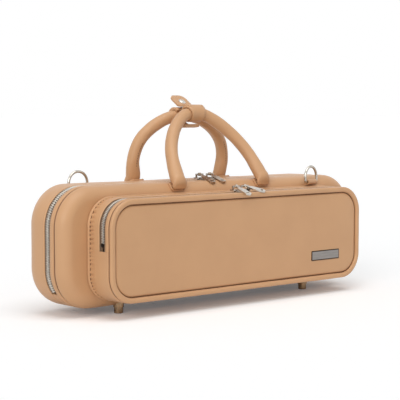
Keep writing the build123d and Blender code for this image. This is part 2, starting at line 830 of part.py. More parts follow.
leave_turn = 180 - strap_leave
with BuildPart() as keeper_strap:
    with BuildSketch(across(strap_shift - keeper_width / 2)):
        with BuildLine() as strap_line:
            around = ThreePointArc(strap_spot(-strap_over),
                                   strap_spot((leave_turn - strap_over) / 2),
                                   strap_spot(leave_turn))
            TangentArc(strap_spot(leave_turn),
                       (strap_y - strap_reach, strap_z - strap_hang),
                       tangent=(-cos(radians(strap_leave)), -sin(radians(strap_leave))))
        trace(line_width=keeper_leather)
    extrude(amount=keeper_width)
keep_part(keeper_strap, "keeper_strap")

with BuildPart() as snap_stud:
    with BuildSketch(Plane.XY.offset(strap_z + strap_bore + keeper_leather + stud_height)):
        with Locations((0, strap_y)):
            Circle(stud_radius)
    extrude(amount=-stud_height - keeper_leather / 2)
    with BuildSketch(across(-stud_radius * 2)):
        with Locations((strap_y, strap_z)):
            Circle(strap_bore + keeper_leather)
    extrude(amount=stud_radius * 4, mode=Mode.SUBTRACT)
keep_part(snap_stud, "snap_stud")


# ---- strap rings and their tabs ---------------------------------------------------------------
def ring_plane(x, y, yaw):
    """Upright plane of a ring, centred on its bar."""
    turn = radians(yaw)
    return Plane(origin=(x, y, case_top - ring_drop), x_dir=(cos(turn), sin(turn), 0),
                 z_dir=(sin(turn), -cos(turn), 0))


def wire_ring(label, plane):
    """Round wire bent to a D, its bar at the bottom."""
    with BuildPart() as wire:
        with BuildLine(plane) as loop:
            Line((ring_corner - ring_bow, 0), (ring_bow - ring_corner, 0))
            CenterArc((ring_bow - ring_corner, ring_corner), ring_corner, -90, 90)
            Line((ring_bow, ring_corner), (ring_bow, ring_leg))
            CenterArc((0, ring_leg), ring_bow, 0, 180)
            Line((-ring_bow, ring_leg), (-ring_bow, ring_corner))
            CenterArc((ring_corner - ring_bow, ring_corner), ring_corner, 180, 90)
        path = loop.wires()[0]
        with BuildSketch(Plane(origin=path.position_at(0), z_dir=path.tangent_at(0))):
            Circle(ring_wire)
        sweep(path=path)
    keep_part(wire, label)


def ring_tab(label, plane, outward, block):
    """Leather loop round the bar, sewn down on the case."""
    side = Plane(origin=plane.origin - plane.x_dir * (tab_width / 2), x_dir=(0, 1, 0),
                 z_dir=plane.x_dir)
    with BuildPart() as tab:
        with BuildSketch(side):
            Circle(tab_radius)
            with Locations((-outward * tab_radius, 0)):
                Rectangle(2 * tab_radius, 2 * tab_radius)
        extrude(amount=tab_width)
        with BuildSketch(side):
            Circle(ring_wire + pin_clearance)
        extrude(amount=tab_width, mode=Mode.SUBTRACT)
        add(block, mode=Mode.SUBTRACT)
    keep_part(tab, label)


front_ring_plane = ring_plane(ring_x, lid_face - front_ring_stand, front_ring_yaw)
rear_ring_plane = ring_plane(-ring_x, rear_face + rear_ring_stand, 0.0)

wire_ring("front_ring", front_ring_plane)
wire_ring("rear_ring", rear_ring_plane)
ring_tab("lid_ring_tab", front_ring_plane, -1, lid_block)
ring_tab("rear_ring_tab", rear_ring_plane, 1, rear_block)


# ---- feet -------------------------------------------------------------------------------------
def feet(label, y, block):
    """Two turned studs whose tops follow the leather."""
    spots = ((-foot_x, y), (foot_x, y))
    tip = foot_height - foot_flange_thick
    with BuildPart() as studs:
        with BuildSketch(Plane.XY):
            with Locations(*spots):
                Circle(foot_radius)
        extrude(amount=tip)
        fillet(studs.edges().group_by(Axis.Z)[0], radius=foot_flange_thick / 2)
        with BuildSketch(Plane.XY.offset(tip)):
            with Locations(*spots):
                Circle(foot_flange)
        extrude(amount=foot_flange_thick + foot_flange)
        add(block, mode=Mode.SUBTRACT)
    keep_part(studs, label)


feet("lid_feet", lid_face + foot_inset, lid_block)
feet("rear_feet", rear_face - foot_inset, rear_block)
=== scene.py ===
import json
from contextlib import contextmanager
from math import cos, pi, radians, sin, sqrt

import bmesh
import bpy
from mathutils import Matrix, Vector, noise


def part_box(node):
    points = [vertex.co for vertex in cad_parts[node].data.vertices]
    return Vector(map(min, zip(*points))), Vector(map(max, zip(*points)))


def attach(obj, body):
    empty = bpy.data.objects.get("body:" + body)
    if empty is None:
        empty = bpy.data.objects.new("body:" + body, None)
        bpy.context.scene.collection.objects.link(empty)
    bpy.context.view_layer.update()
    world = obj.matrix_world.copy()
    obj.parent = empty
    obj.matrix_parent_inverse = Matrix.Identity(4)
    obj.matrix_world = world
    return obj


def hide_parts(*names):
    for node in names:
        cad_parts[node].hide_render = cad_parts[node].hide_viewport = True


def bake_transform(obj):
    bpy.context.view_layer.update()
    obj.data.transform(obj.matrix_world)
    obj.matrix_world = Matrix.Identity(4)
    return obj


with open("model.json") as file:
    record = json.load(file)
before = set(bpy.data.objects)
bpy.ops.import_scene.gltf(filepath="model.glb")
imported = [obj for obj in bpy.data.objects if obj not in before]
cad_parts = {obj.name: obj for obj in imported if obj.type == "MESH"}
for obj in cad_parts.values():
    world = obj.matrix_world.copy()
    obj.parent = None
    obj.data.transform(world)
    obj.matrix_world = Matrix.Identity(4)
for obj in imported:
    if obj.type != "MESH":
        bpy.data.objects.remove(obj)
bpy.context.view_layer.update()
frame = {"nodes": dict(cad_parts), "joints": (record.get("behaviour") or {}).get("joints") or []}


# ---- Rear half: moulded leather back --------------------------------------------------------
# One hide of smooth tan leather drawn over padded board: straight along the zipper, then in
# large soft curves round the ends and smaller ones over the top. The lip is turned under.
mm = 0.001
case_corner = 40.0
leather_thick = 1.2
end_round = 29.0
top_round = 12.0
last_turn = 82


def box_of(node):
    """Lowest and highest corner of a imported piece, in millimetres."""
    low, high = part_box(node)
    return low / mm, high / mm


lid_low, lid_high = box_of("lid_shell")
rear_low, rear_high = box_of("rear_shell")
case_half_x = lid_high.x
case_half_z = (lid_high.z - lid_low.z) / 2
case_mid = (lid_high.z + lid_low.z) / 2
case_top = lid_high.z
case_bottom = lid_low.z
rear_lip = rear_low.y
rear_face = rear_high.y + end_round * (1 - sin(radians(last_turn)))


class Link:
    """Output of a node that can be used in sums like a number."""

    def __init__(self, bench, socket):
        self.bench, self.socket = bench, socket

    def combine(self, operation, first, second):
        return self.bench.node("ShaderNodeMath", {"operation": operation}, {0: first, 1: second})

    def __add__(self, other):
        return self.combine("ADD", self, other)

    def __radd__(self, other):
        return self.combine("ADD", other, self)

    def __sub__(self, other):
        return self.combine("SUBTRACT", self, other)

    def __rsub__(self, other):
        return self.combine("SUBTRACT", other, self)

    def __mul__(self, other):
        return self.combine("MULTIPLY", self, other)

    def __rmul__(self, other):
        return self.combine("MULTIPLY", other, self)


class Bench:
    """Node tree of one finish, or of one repeat."""

    def __init__(self, tree):
        self.tree = tree

    def node(self, kind, settings=None, inputs=None, out=0):
        """New node: its settings first, then the values or links of its sockets."""
        made = self.tree.nodes.new(kind)
        for key, value in (settings or {}).items():
            if key == "stops":
                ramp = made.color_ramp.elements
                while len(ramp) < len(value):
                    ramp.new(1.0)
                for stop, (place, shade) in zip(ramp, value):
                    stop.position = place
                    stop.color = (*shade, 1.0) if len(shade) == 3 else shade
            else:
                setattr(made, key, value)
        for key, value in (inputs or {}).items():
            if isinstance(value, Link):
                self.tree.links.new(value.socket, made.inputs[key])
            else:
                made.inputs[key].default_value = value
        return Link(self, made.outputs[out] if made.outputs else None)

    def mixed(self, share, first, second):
        """Colour between first and second."""
        ends = {0: share}
        for index, shade in ((6, first), (7, second)):
            ends[index] = shade if isinstance(shade, Link) else (*shade, 1.0)
        return self.node("ShaderNodeMix", {"data_type": "RGBA"}, ends, 2)

    def noise(self, place, scale, detail=2.0, roughness=0.5):
        return self.node("ShaderNodeTexNoise", {}, {"Vector": place, "Scale": scale,
                                                    "Detail": detail, "Roughness": roughness})

    def spread(self, value, low, high, to_low=0.0, to_high=1.0):
        """Value from low to high spread from to_low to to_high, held at both ends."""
        return self.node("ShaderNodeMapRange", {"clamp": True},
                         {0: value, 1: low, 2: high, 3: to_low, 4: to_high})


def finish_of(name):
    """Empty material and its bench."""
    material = bpy.data.materials.new(name)
    material.use_nodes = True
    material.node_tree.nodes.clear()
    return material, Bench(material.node_tree)


def coat(bench, inputs, relief=None, strength=0.5, distance=0.0002):
    """Principled surface of a finish, with a relief if there is one."""
    if relief is not None:
        inputs["Normal"] = bench.node("ShaderNodeBump", {}, {
            "Strength": strength, "Distance": distance, "Height": relief})
    surface = bench.node("ShaderNodeBsdfPrincipled", {}, inputs)
    bench.node("ShaderNodeOutputMaterial", {}, {"Surface": surface})


tan_hide = (0.590, 0.335, 0.172)


def toned(shade, *by):
    """Colour times one number, or times a number for each of its three parts."""
    return tuple(part * share for part, share in zip(shade, by * 3 if len(by) == 1 else by))


def leather(name, hide=tan_hide, creases=0.25, sheen=0.40):
    """Smooth pigmented cowhide: fine pores with painted shade, faint clouds, creases that follow
    the pull.
    """
    material, bench = finish_of(name)
    place = bench.node("ShaderNodeTexCoord", out=3)
    clouds = bench.noise(place, 22.0, 3.0, 0.55)
    pores = bench.node("ShaderNodeTexVoronoi", {"feature": "F1"},
                       {"Vector": place, "Scale": 1250.0, "Randomness": 1.0})
    fine = bench.noise(place, 2600.0, 2.0)
    folds = bench.noise(place, 170.0, 4.0, 0.6)
    tone = bench.mixed(bench.spread(clouds, 0.30, 0.70), toned(hide, 0.965, 0.955, 0.94),
                       toned(hide, 1.02, 1.015, 1.0))
    # painted shade: the middles of the pores are darkened, as if shade lay in their hollows
    pore_shaded = bench.mixed(bench.spread(pores, 0.0, 0.22, 0.16, 0.0), tone, toned(hide, 0.55))
    relief = (bench.spread(pores, 0.0, 0.45) * 0.55 + fine * 0.25
              + bench.spread(folds, 0.42, 0.62) * creases)
    rough = bench.spread(clouds, 0.3, 0.7, sheen + 0.03, sheen - 0.03) + fine * 0.06
    coat(bench, {"Base Color": pore_shaded, "Roughness": rough, "Specular IOR Level": 0.42,
                 "Sheen Weight": 0.04}, relief, 0.32, 0.00016)
    return material


def rounded_ring(half_x, half_z, corner, y, middle_z, fine=1):
    """Rounded rectangle at depth y, clockwise from the middle of its bottom."""
    corner = max(min(corner, half_x - 0.1, half_z - 0.1), 0.05)
    run_x = half_x - corner
    run_z = half_z - corner
    long_steps, short_steps, bend_steps = 84 * fine, 14 * fine, 14 * fine
    points = []

    def run(start, end, steps):
        for step in range(steps):
            share = step / steps
            points.append(Vector((start[0] + (end[0] - start[0]) * share, y,
                                  middle_z + start[1] + (end[1] - start[1]) * share)))

    def bow(side_x, side_z, start):
        for step in range(bend_steps):
            turn = radians(start - 90 * step / bend_steps)
            points.append(Vector((side_x * run_x + corner * cos(turn), y,
                                  middle_z + side_z * run_z + corner * sin(turn))))

    run((0, -half_z), (-run_x, -half_z), long_steps // 2)
    bow(-1, -1, 270)
    run((-half_x, -run_z), (-half_x, run_z), short_steps)
    bow(-1, 1, 180)
    run((-run_x, half_z), (run_x, half_z), long_steps)
    bow(1, 1, 90)
    run((half_x, run_z), (half_x, -run_z), short_steps)
    bow(1, -1, 0)
    run((run_x, -half_z), (0, -half_z), long_steps // 2)
    return points


def case_rings(profile, fine=1):
    """Rings round the case for a profile of insets and depths."""
    return [rounded_ring(case_half_x - inset, case_half_z - inset, case_corner - inset, y,
                         case_mid, fine) for inset, y in profile]


def skin(name, rings, round_shut=True, loop=False, ends=False):
    """Mesh through rings of one count, with a UV map in metres along and across them."""
    count = len(rings[0])
    columns = count if round_shut else count - 1
    rows = len(rings) if loop else len(rings) - 1
    faces = []
    for row in range(rows):
        here, there = row * count, (row + 1) % len(rings) * count
        for column in range(columns):
            after = (column + 1) % count
            faces.append((here + column, here + after, there + after, there + column))
    if ends:
        faces.append(tuple(range(count - 1, -1, -1)))
        faces.append(tuple(range((len(rings) - 1) * count, len(rings) * count)))
    mesh = bpy.data.meshes.new(name)
    mesh.from_pydata([point * mm for ring in rings for point in ring], [], faces)
    widest = max(rings, key=lambda ring: sum((a - b).length for a, b in zip(ring, ring[1:])))
    along, across = [0.0], [0.0]
    for column in range(count):
        step = (widest[(column + 1) % count] - widest[column]).length
        along.append(along[-1] + step * mm)
    for row in range(len(rings)):
        step = (rings[(row + 1) % len(rings)][0] - rings[row][0]).length
        across.append(across[-1] + step * mm)
    chart = []
    for row in range(rows):
        for column in range(columns):
            for u, v in ((column, row), (column + 1, row), (column + 1, row + 1),
                         (column, row + 1)):
                chart += (along[u], across[v])
    chart += [0.0] * (2 * len(mesh.loops) - len(chart))
    mesh.uv_layers.new(name="UVMap").data.foreach_set("uv", chart)
    return mesh


@contextmanager
def edited(mesh):
    """Open a mesh for editing, then put the result back into it."""
    shape = bmesh.new()
    shape.from_mesh(mesh)
    yield shape
    shape.to_mesh(mesh)
    shape.free()


def turned_out(mesh, middle=None):
    """Faces outwards; an open sheet faces away from its middle."""
    with edited(mesh) as shape:
        bmesh.ops.recalc_face_normals(shape, faces=shape.faces)
        if middle is not None:
            middle = Vector(middle) * mm
            lean = sum(face.calc_area() * face.normal.dot(face.calc_center_median() - middle)
                       for face in shape.faces)
            if lean < 0:
                bmesh.ops.reverse_faces(shape, faces=shape.faces)


def piece(name, mesh, finish, crease=50):
    """Object of a mesh, smooth but for edges sharper than crease degrees."""
    made = bpy.data.objects.new(name, mesh)
    bpy.context.scene.collection.objects.link(made)
    mesh.materials.clear()
    mesh.materials.append(finish)
    mesh.shade_smooth()
    mesh.set_sharp_from_angle(angle=radians(crease))
    return made


def settle(made, crease=50):
    """Make the piece's modifiers final."""
    bpy.context.view_layer.update()
    graph = bpy.context.evaluated_depsgraph_get()
    made.data = bpy.data.meshes.new_from_object(made.evaluated_get(graph))
    made.modifiers.clear()
    made.data.shade_smooth()
    made.data.set_sharp_from_angle(angle=radians(crease))


def thicken(made, thick, edge=0.0):
    """Give a sheet its thickness, inwards, and soften its cut edge."""
    wall = made.modifiers.new("thickness", "SOLIDIFY")
    wall.thickness = thick * mm
    wall.offset = -1
    if edge:
        rounding = made.modifiers.new("edge", "BEVEL")
        rounding.width = edge * mm
        rounding.segments = 2
        rounding.limit_method = "ANGLE"
        rounding.angle_limit = radians(50)
    settle(made)


def rumple(mesh, depth, size, seed=0.0):
    """Let the surface rise and fall a little, as leather lies over padding."""
    normals = [vertex.normal.copy() for vertex in mesh.vertices]
    for vertex, normal in zip(mesh.vertices, normals):
        spot = vertex.co / (size * mm) + Vector((seed, seed, seed))
        vertex.co += normal * (depth * mm * noise.noise(spot))


lip_roll = ((1.1, 0.35), (0.55, 0.0), (0.18, 0.25), (0.0, 0.9))
straight_steps = 3
round_step = 6
back_steps = (3, 8, 15, 24, 34, 44, 49)
back_bulge = 0.15


def rear_rings(inset, front, lip=True):
    """Rings of the rear half from its lip, round its end, to the middle of its back."""
    end_start = rear_face - end_round
    if lip:
        sections = [(inset + step_in, inset + step_in, front + back)
                    for step_in, back in lip_roll]
    else:
        sections = [(inset, inset, front)]
    for step in range(straight_steps):
        run = end_start - front - 2
        sections.append((inset, inset, front + 2 + run * step / straight_steps))
    for turn in (*range(0, last_turn, round_step), last_turn):
        depth = end_start + (end_round - inset) * sin(radians(turn))
        end_in = inset + (end_round - inset) * (1 - cos(radians(turn)))
        past = max(0.0, depth - rear_face + top_round)
        top_in = top_round - sqrt((top_round - inset) ** 2 - past ** 2)
        sections.append((end_in, top_in, depth))
    end_in, top_in, depth = sections[-1]
    for step in back_steps:
        sections.append((end_in + step, top_in + step, depth + back_bulge * min(step, 8) / 8))
    return [rounded_ring(case_half_x - end, case_half_z - top, case_corner - top, y, case_mid)
            for end, top, y in sections]


case_leather = leather("case_leather")
rear_middle = (0, rear_lip, case_mid)


def bowl(name, rings, middle, thick, finish, wave=None, closed=True):
    """Layer of half the case, with its thickness inwards, as a rule closed in the middle."""
    mesh = skin(name, rings)
    last_ring = len(rings[0]) * (len(rings) - 1)
    if closed:
        with edited(mesh) as shape:
            rim = [edge for edge in shape.edges
                   if edge.is_boundary and edge.verts[0].index >= last_ring]
            bmesh.ops.edgeloop_fill(shape, edges=rim)
    turned_out(mesh, middle)
    if wave:
        rumple(mesh, *wave)
    made = piece(name, mesh, finish)
    thicken(made, thick)
    return made


rear_leather = bowl("rear_leather", rear_rings(0.0, rear_lip), rear_middle, leather_thick,
                    case_leather, (0.35, 55, 3.0))
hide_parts("rear_shell")
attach(rear_leather, "rear_half")


# ---- Rear half: foam, lining and fitted tray ------------------------------------------------
# Five millimetres of foam behind the leather, a plush lining over it with an open slit along
# the middle of its back, and a tray of plush on moulded foam with three troughs.
layer_gap = 0.1
foam_thick = 5.0
lining_thick = 1.2


def plush(name, shade):
    """Short cut pile: light catches the tips, and the pile lies in soft patches."""
    material, bench = finish_of(name)
    place = bench.node("ShaderNodeTexCoord", out=3)
    pile = bench.noise(place, 1900.0, 3.0, 0.7)
    nap = bench.noise(place, 46.0, 2.0)
    tone = bench.mixed(bench.spread(nap, 0.35, 0.65), toned(shade, 0.75), toned(shade, 1.2))
    tips = bench.mixed(bench.spread(pile, 0.45, 0.75, 0.0, 0.35), tone,
                       tuple(min(1.0, part * 2.0 + 0.02) for part in shade))
    coat(bench, {"Base Color": tips, "Roughness": 0.95, "Sheen Weight": 0.5,
                 "Sheen Roughness": 0.4}, pile, 0.8, 0.0006)
    return material


def foam(name):
    """Open-cell foam, cream, with its cells just showing."""
    material, bench = finish_of(name)
    place = bench.node("ShaderNodeTexCoord", out=3)
    cells = bench.node("ShaderNodeTexVoronoi", {"feature": "F1"},
                       {"Vector": place, "Scale": 950.0})
    tone = bench.mixed(bench.spread(cells, 0.1, 0.6), (0.50, 0.45, 0.36), (0.80, 0.76, 0.66))
    coat(bench, {"Base Color": tone, "Roughness": 0.95}, cells, 0.6, 0.0004)
    return material


padding_foam = foam("padding_foam")
plush_brown = plush("plush_brown", (0.085, 0.050, 0.032))

foam_inset = leather_thick + layer_gap
lining_inset = foam_inset + foam_thick + layer_gap
padding_lip = box_of("rear_padding")[0].y
rear_foam = bowl("rear_foam", rear_rings(foam_inset, padding_lip, False), rear_middle,
                 foam_thick, padding_foam)
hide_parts("rear_padding")
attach(rear_foam, "rear_half")
rear_plush = bowl("rear_plush", rear_rings(lining_inset, padding_lip, False), rear_middle,
                  lining_thick, plush_brown, closed=False)
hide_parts("rear_lining")
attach(rear_plush, "rear_half")


def softened(name, node, grain, passes, finish):
    """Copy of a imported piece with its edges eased, for plush and felt."""
    mesh = frame["nodes"][node].data.copy()
    mesh.name = name
    with edited(mesh) as shape:
        bmesh.ops.remove_doubles(shape, verts=shape.verts, dist=0.01 * mm)
    made = piece(name, mesh, finish)
    grid = made.modifiers.new("grid", "REMESH")
    grid.mode = "VOXEL"
    grid.voxel_size = grain * mm
    easing = made.modifiers.new("easing", "SMOOTH")
    easing.factor = 0.5
    easing.iterations = passes
    settle(made, 80)
    made.data.materials.clear()
    made.data.materials.append(finish)
    return made


tray = softened("plush_tray", "fitted_tray", grain=2.2, passes=4, finish=plush_brown)
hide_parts("fitted_tray")
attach(tray, "rear_half")


# ---- Main zipper ----------------------------------------------------------------------------
# Two woven tapes sewn under the leather lips, each with a row of metal teeth that grip its
# edge. The rows lock into each other over the top and down both ends of the case.
lip_reach = 4.6
zip_y = rear_lip - lip_reach
tape_sink = 1.3
tape_thick = 0.8
hinge_z = box_of("rear_zip_tape")[0].z
rib_pitch = 0.8 * mm
weft_pitch = 0.9 * mm


def twill(name, shade):
    """Woven tape: ribs along it, and the weft across them."""
    material, bench = finish_of(name)
    chart = bench.node("ShaderNodeUVMap", {"uv_map": "UVMap"})
    along = bench.node("ShaderNodeSeparateXYZ", {}, {0: chart}, 0)
    across = bench.node("ShaderNodeSeparateXYZ", {}, {0: chart}, 1)
    ribs = bench.node("ShaderNodeMath", {"operation": "SINE"},
                      {0: across * (2 * pi / rib_pitch)})
    weft = bench.node("ShaderNodeMath", {"operation": "SINE"},
                      {0: along * (2 * pi / weft_pitch)})
    weave = bench.spread(ribs * weft, -1.0, 1.0)
    tone = bench.mixed(weave, toned(shade, 0.7), shade)
    coat(bench, {"Base Color": tone, "Roughness": 0.8, "Sheen Weight": 0.1}, weave, 0.7,
         0.0003)
    return material


def metal(name, shade, rough=0.25, marks=0.1, shine=1.0):
    """Plated metal with faint scratches and a little grime in them."""
    material, bench = finish_of(name)
    place = bench.node("ShaderNodeTexCoord", out=3)
    scratches = bench.noise(place, 900.0, 4.0, 0.7)
    grime = bench.noise(place, 260.0, 3.0)
    tone = bench.mixed(bench.spread(grime, 0.35, 0.75), shade, toned(shade, 0.72))
    coat(bench, {"Base Color": tone, "Metallic": shine,
                 "Roughness": bench.spread(scratches, 0.3, 0.7, rough - marks, rough + marks)},
         scratches, 0.12, 0.00008)
    return material


tape_cloth = twill("tape_cloth", (0.20, 0.115, 0.06))
tooth_metal = metal("tooth_metal", (0.92, 0.88, 0.80), 0.34, shine=0.5)


def cut_above(mesh, level, lower=False):
    """Keep what lies above a level of an open sheet, or below it."""
    with edited(mesh) as shape:
        everything = [*shape.verts, *shape.edges, *shape.faces]
        bmesh.ops.bisect_plane(shape, geom=everything, plane_co=(0, 0, level * mm),
                               plane_no=(0, 0, 1), clear_inner=not lower, clear_outer=lower)


def formed(name, rings, finish, wave=None, middle=None, cuts=(), crease=50, **how):
    """Piece through rings, cut at levels, its faces outwards and its surface a little uneven."""
    mesh = skin(name, rings, **how)
    for level in cuts:
        cut_above(mesh, *level)
    turned_out(mesh, middle)
    if wave:
        rumple(mesh, *wave)
    return piece(name, mesh, finish, crease)


def tape(name, rings, level, node, body, middle):
    """One zipper tape above a level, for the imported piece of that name."""
    made = formed(name, rings, tape_cloth, middle=middle, cuts=[(level,)])
    thicken(made, tape_thick)
    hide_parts(node)
    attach(made, body)
    return made


tape_profile = ((0.9, 0.25), (1.5, 0.0), (3.2, 0.0), (5.5, 0.0), (8.5, 0.05))


def tape_depths(y, side):
    """Profile of a tape beside the middle of its zipper, its edge turned down a little."""
    return [(tape_sink + drop, y + side * away) for away, drop in tape_profile]


tape("main_tape_rear", case_rings(tape_depths(zip_y, 1)), hinge_z, "rear_zip_tape",
     "rear_half", rear_middle)
tape("main_tape_front", case_rings(tape_depths(zip_y, -1)), hinge_z, "lid_zip_tape", "lid",
     (0, zip_y - 8, case_mid))


def arch(half_x, half_z, corner, y, middle_z, low):
    """Line from low on the left over the top to low on the right."""
    ring = rounded_ring(half_x, half_z, corner, y, middle_z, 3)
    return [point for point in ring if point.z > low]


def guide(points):
    """Curve through points, for repeats to follow."""
    curve = bpy.data.curves.new("guide", "CURVE")
    curve.dimensions = "3D"
    line = curve.splines.new("POLY")
    line.points.add(len(points) - 1)
    for spot, point in zip(line.points, points):
        spot.co = (*(point * mm), 1.0)
    made = bpy.data.objects.new("guide", curve)
    bpy.context.scene.collection.objects.link(made)
    return made


def row_tree():
    """Repeat of one shape at a spacing along a line, each turned to the line."""
    tree = bpy.data.node_groups.new("row_along_line", "GeometryNodeTree")
    sockets = {}
    for title, kind in (("Line", "Geometry"), ("Spacing", "Float"), ("Start", "Float"),
                        ("Shape", "Object"), ("Finish", "Material"), ("Unevenness", "Float")):
        made = tree.interface.new_socket(title, in_out="INPUT",
                                         socket_type=f"NodeSocket{kind}")
        sockets[title] = made.identifier
    tree.interface.new_socket("Row", in_out="OUTPUT", socket_type="NodeSocketGeometry")
    bench = Bench(tree)
    given = tree.nodes.new("NodeGroupInput")
    inlet = {title: Link(bench, given.outputs[title]) for title in sockets}
    cut = bench.node("GeometryNodeTrimCurve", {"mode": "LENGTH"},
                     {"Curve": inlet["Line"], 4: inlet["Start"], 5: 100.0})
    spots = bench.node("GeometryNodeResampleCurve", {"mode": "LENGTH"},
                       {"Curve": cut, "Length": inlet["Spacing"]})
    way = bench.node("GeometryNodeInputTangent")
    turn = bench.node("FunctionNodeAlignRotationToVector", {"axis": "X", "pivot_axis": "Y"},
                      {"Vector": way})
    shape = bench.node("GeometryNodeObjectInfo", {}, {"Object": inlet["Shape"]}, 4)
    size = bench.node("FunctionNodeRandomValue", {"data_type": "FLOAT"},
                      {2: 1.0 - inlet["Unevenness"], 3: 1.0 + inlet["Unevenness"], "Seed": 7}, 1)
    row = bench.node("GeometryNodeInstanceOnPoints", {},
                     {"Points": spots, "Instance": shape, "Rotation": turn, "Scale": size})
    solid = bench.node("GeometryNodeRealizeInstances", {}, {0: row})
    dressed = bench.node("GeometryNodeSetMaterial", {},
                         {"Geometry": solid, "Material": inlet["Finish"]})
    bench.node("NodeGroupOutput", {}, {0: dressed})
    return tree, sockets


row_group, row_sockets = row_tree()


def row_of(name, points, shape, finish, spacing, start=0.0, uneven=0.0):
    """Row of a shape along points, as one mesh."""
    made = guide(points)
    repeat = made.modifiers.new("row", "NODES")
    repeat.node_group = row_group
    for title, value in (("Spacing", spacing * mm), ("Start", start * mm), ("Shape", shape),
                         ("Finish", finish), ("Unevenness", uneven)):
        repeat[row_sockets[title]] = value
    bpy.context.view_layer.update()
    graph = bpy.context.evaluated_depsgraph_get()
    mesh = bpy.data.meshes.new_from_object(made.evaluated_get(graph))
    bpy.data.objects.remove(made)
    return piece(name, mesh, finish, 40)


tooth_pitch = 2.4
tooth_wide = 0.98
tooth_grip = 3.0
tooth_reach = 1.05
tooth_high = 1.5


tooth_stations = ((tooth_grip, 0.42, 0.62), (tooth_grip - 0.25, 0.5, 0.92), (1.5, 0.5, 1.0),
                  (0.75, 0.36, 0.86), (0.1, 0.5, 0.92), (-0.6, 0.48, 0.86),
                  (-tooth_reach, 0.3, 0.5))


def bead(name, rings):
    """Small closed form through rings of points, to be repeated along a line."""
    shape = bmesh.new()
    loops = [[shape.verts.new(point * mm) for point in ring] for ring in rings]
    for one, other in zip(loops, loops[1:]):
        for step in range(len(one)):
            after = (step + 1) % len(one)
            shape.faces.new((one[step], one[after], other[after], other[step]))
    shape.faces.new(loops[0])
    shape.faces.new(loops[-1])
    bmesh.ops.recalc_face_normals(shape, faces=shape.faces)
    mesh = bpy.data.meshes.new(name)
    shape.to_mesh(mesh)
    shape.free()
    return bpy.data.objects.new(name, mesh)


def tooth_shape(name, side, size=1.0):
    """One tooth: legs round the tape's edge, a waist, and a rounded head over the middle."""
    sides = 8
    rings = []
    for away, half, high in tooth_stations:
        ring = []
        for step in range(sides):
            turn = 2 * pi * (step + 0.5) / sides
            flat = Vector((cos(turn), 0, sin(turn)))
            flat /= max(abs(flat.x), abs(flat.z)) ** 0.6
            ring.append(Vector((flat.x * half * tooth_wide * 0.98, side * away,
                                flat.z * high * tooth_high / 2)) * size)
        rings.append(ring)
    return bead(name, rings)


tooth_sink = 0.95
main_arch = arch(case_half_x - tooth_sink, case_half_z - tooth_sink, case_corner - tooth_sink,
                 zip_y, case_mid, hinge_z + 1.5)


def zip_rows(rows, line, size=1.0):
    """Rows of teeth along a line: name, side, piece replaced and body of each."""
    pitch = tooth_pitch * size
    shapes = [tooth_shape(f"{name}_tooth", side, size) for name, side, node, body in rows]
    for shape, (name, side, node, body) in zip(shapes, rows):
        start = 0.0 if side > 0 else pitch / 2
        teeth = row_of(name, line, shape, tooth_metal, pitch, start)
        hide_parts(node)
        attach(teeth, body)


zip_rows((("main_teeth_rear", 1, "rear_zip_teeth", "rear_half"),
          ("main_teeth_front", -1, "lid_zip_teeth", "lid")), main_arch)


# ---- Lid: leather, gusset, seam and soft hinge ----------------------------------------------
# The face and its rounded flank are one hide. A gusset strip joins it to the zipper, with a
# corded seam between them, and one strip of leather under both halves is the hinge.
lid_face = lid_low.y
lid_back = lid_high.y
flank_round = 13.2
gusset_low, gusset_high = box_of("lid_gusset")
lid_middle = (0, lid_back + 5, case_mid)


seam_lip = ((2.0, 0.65), (1.2, 0.65), (0.6, 0.8), (0.24, 1.12), (0.10, 1.6))
face_steps = (2, 5, 9, 14, 20, 27, 34, 41, 46.5)


def lid_profile(inset, back, lip=True):
    """Profile of the lid from its edge over the flank to the middle of the face."""
    if lip:
        profile = [(inset + step_in, back - drop) for step_in, drop in seam_lip]
    else:
        profile = [(inset, back), (inset, (back + lid_face + flank_round) / 2)]
    radius = flank_round - inset
    for turn in range(2 * round_step if lip else 0, 91, round_step):
        profile.append((inset + radius * (1 - cos(radians(turn))),
                        lid_face + inset + radius * (1 - sin(radians(turn)))))
    profile += [(inset + radius + step, lid_face + inset) for step in face_steps]
    return profile


lid_leather = bowl("lid_leather", case_rings(lid_profile(0.0, lid_back)), lid_middle,
                   leather_thick, case_leather, (0.3, 48, 7.0))
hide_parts("lid_shell")
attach(lid_leather, "lid")

gusset_depths = [(2.0, gusset_low.y + 0.65), (1.2, gusset_low.y + 0.65),
                 (0.6, gusset_low.y + 0.8), (0.22, gusset_low.y + 1.12),
                 (0.0, gusset_low.y + 1.7), (-0.1, gusset_low.y + 2.8),
                 (-0.15, (gusset_low.y + gusset_high.y) / 2), (-0.05, gusset_high.y - 1.0),
                 (0.14, gusset_high.y - 0.35), (0.5, gusset_high.y - 0.05),
                 (1.05, gusset_high.y - 0.3)]
gusset = formed("gusset_strip", case_rings(gusset_depths), case_leather, (0.2, 30, 1.0),
                lid_middle)
thicken(gusset, leather_thick)
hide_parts("lid_gusset")
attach(gusset, "lid")

# dark brown leather: the seam cord's own dark colour, and painted shade for the dark lines in
# the grooves by the welt and the piping
cord_and_groove_shade = leather("cord_and_groove_shade", (0.17, 0.075, 0.030), 0.3, 0.6)


def roll_profile(inset, y, half_wide, half_deep, steps=12, square=1.0):
    """Profile of a roll round an outline."""
    profile = []
    for step in range(steps):
        turn = 2 * pi * step / steps
        across, deep = cos(turn), sin(turn)
        across = abs(across) ** square * (1 if across >= 0 else -1)
        deep = abs(deep) ** square * (1 if deep >= 0 else -1)
        profile.append((inset + half_wide * across, y + half_deep * deep))
    return profile


seam_y = (gusset_low.y + lid_back) / 2
cord_inset = 1.35
cord_half_high = 0.6
cord_half_wide = 1.2
# the cord is dark brown partly as its own colour and partly as painted shade for the dark line
# of the seam
seam_cord = formed("seam_cord", case_rings(roll_profile(
    cord_inset, seam_y, cord_half_high, cord_half_wide, 10)), cord_and_groove_shade, loop=True)
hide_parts("lid_seam_cord")
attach(seam_cord, "lid")

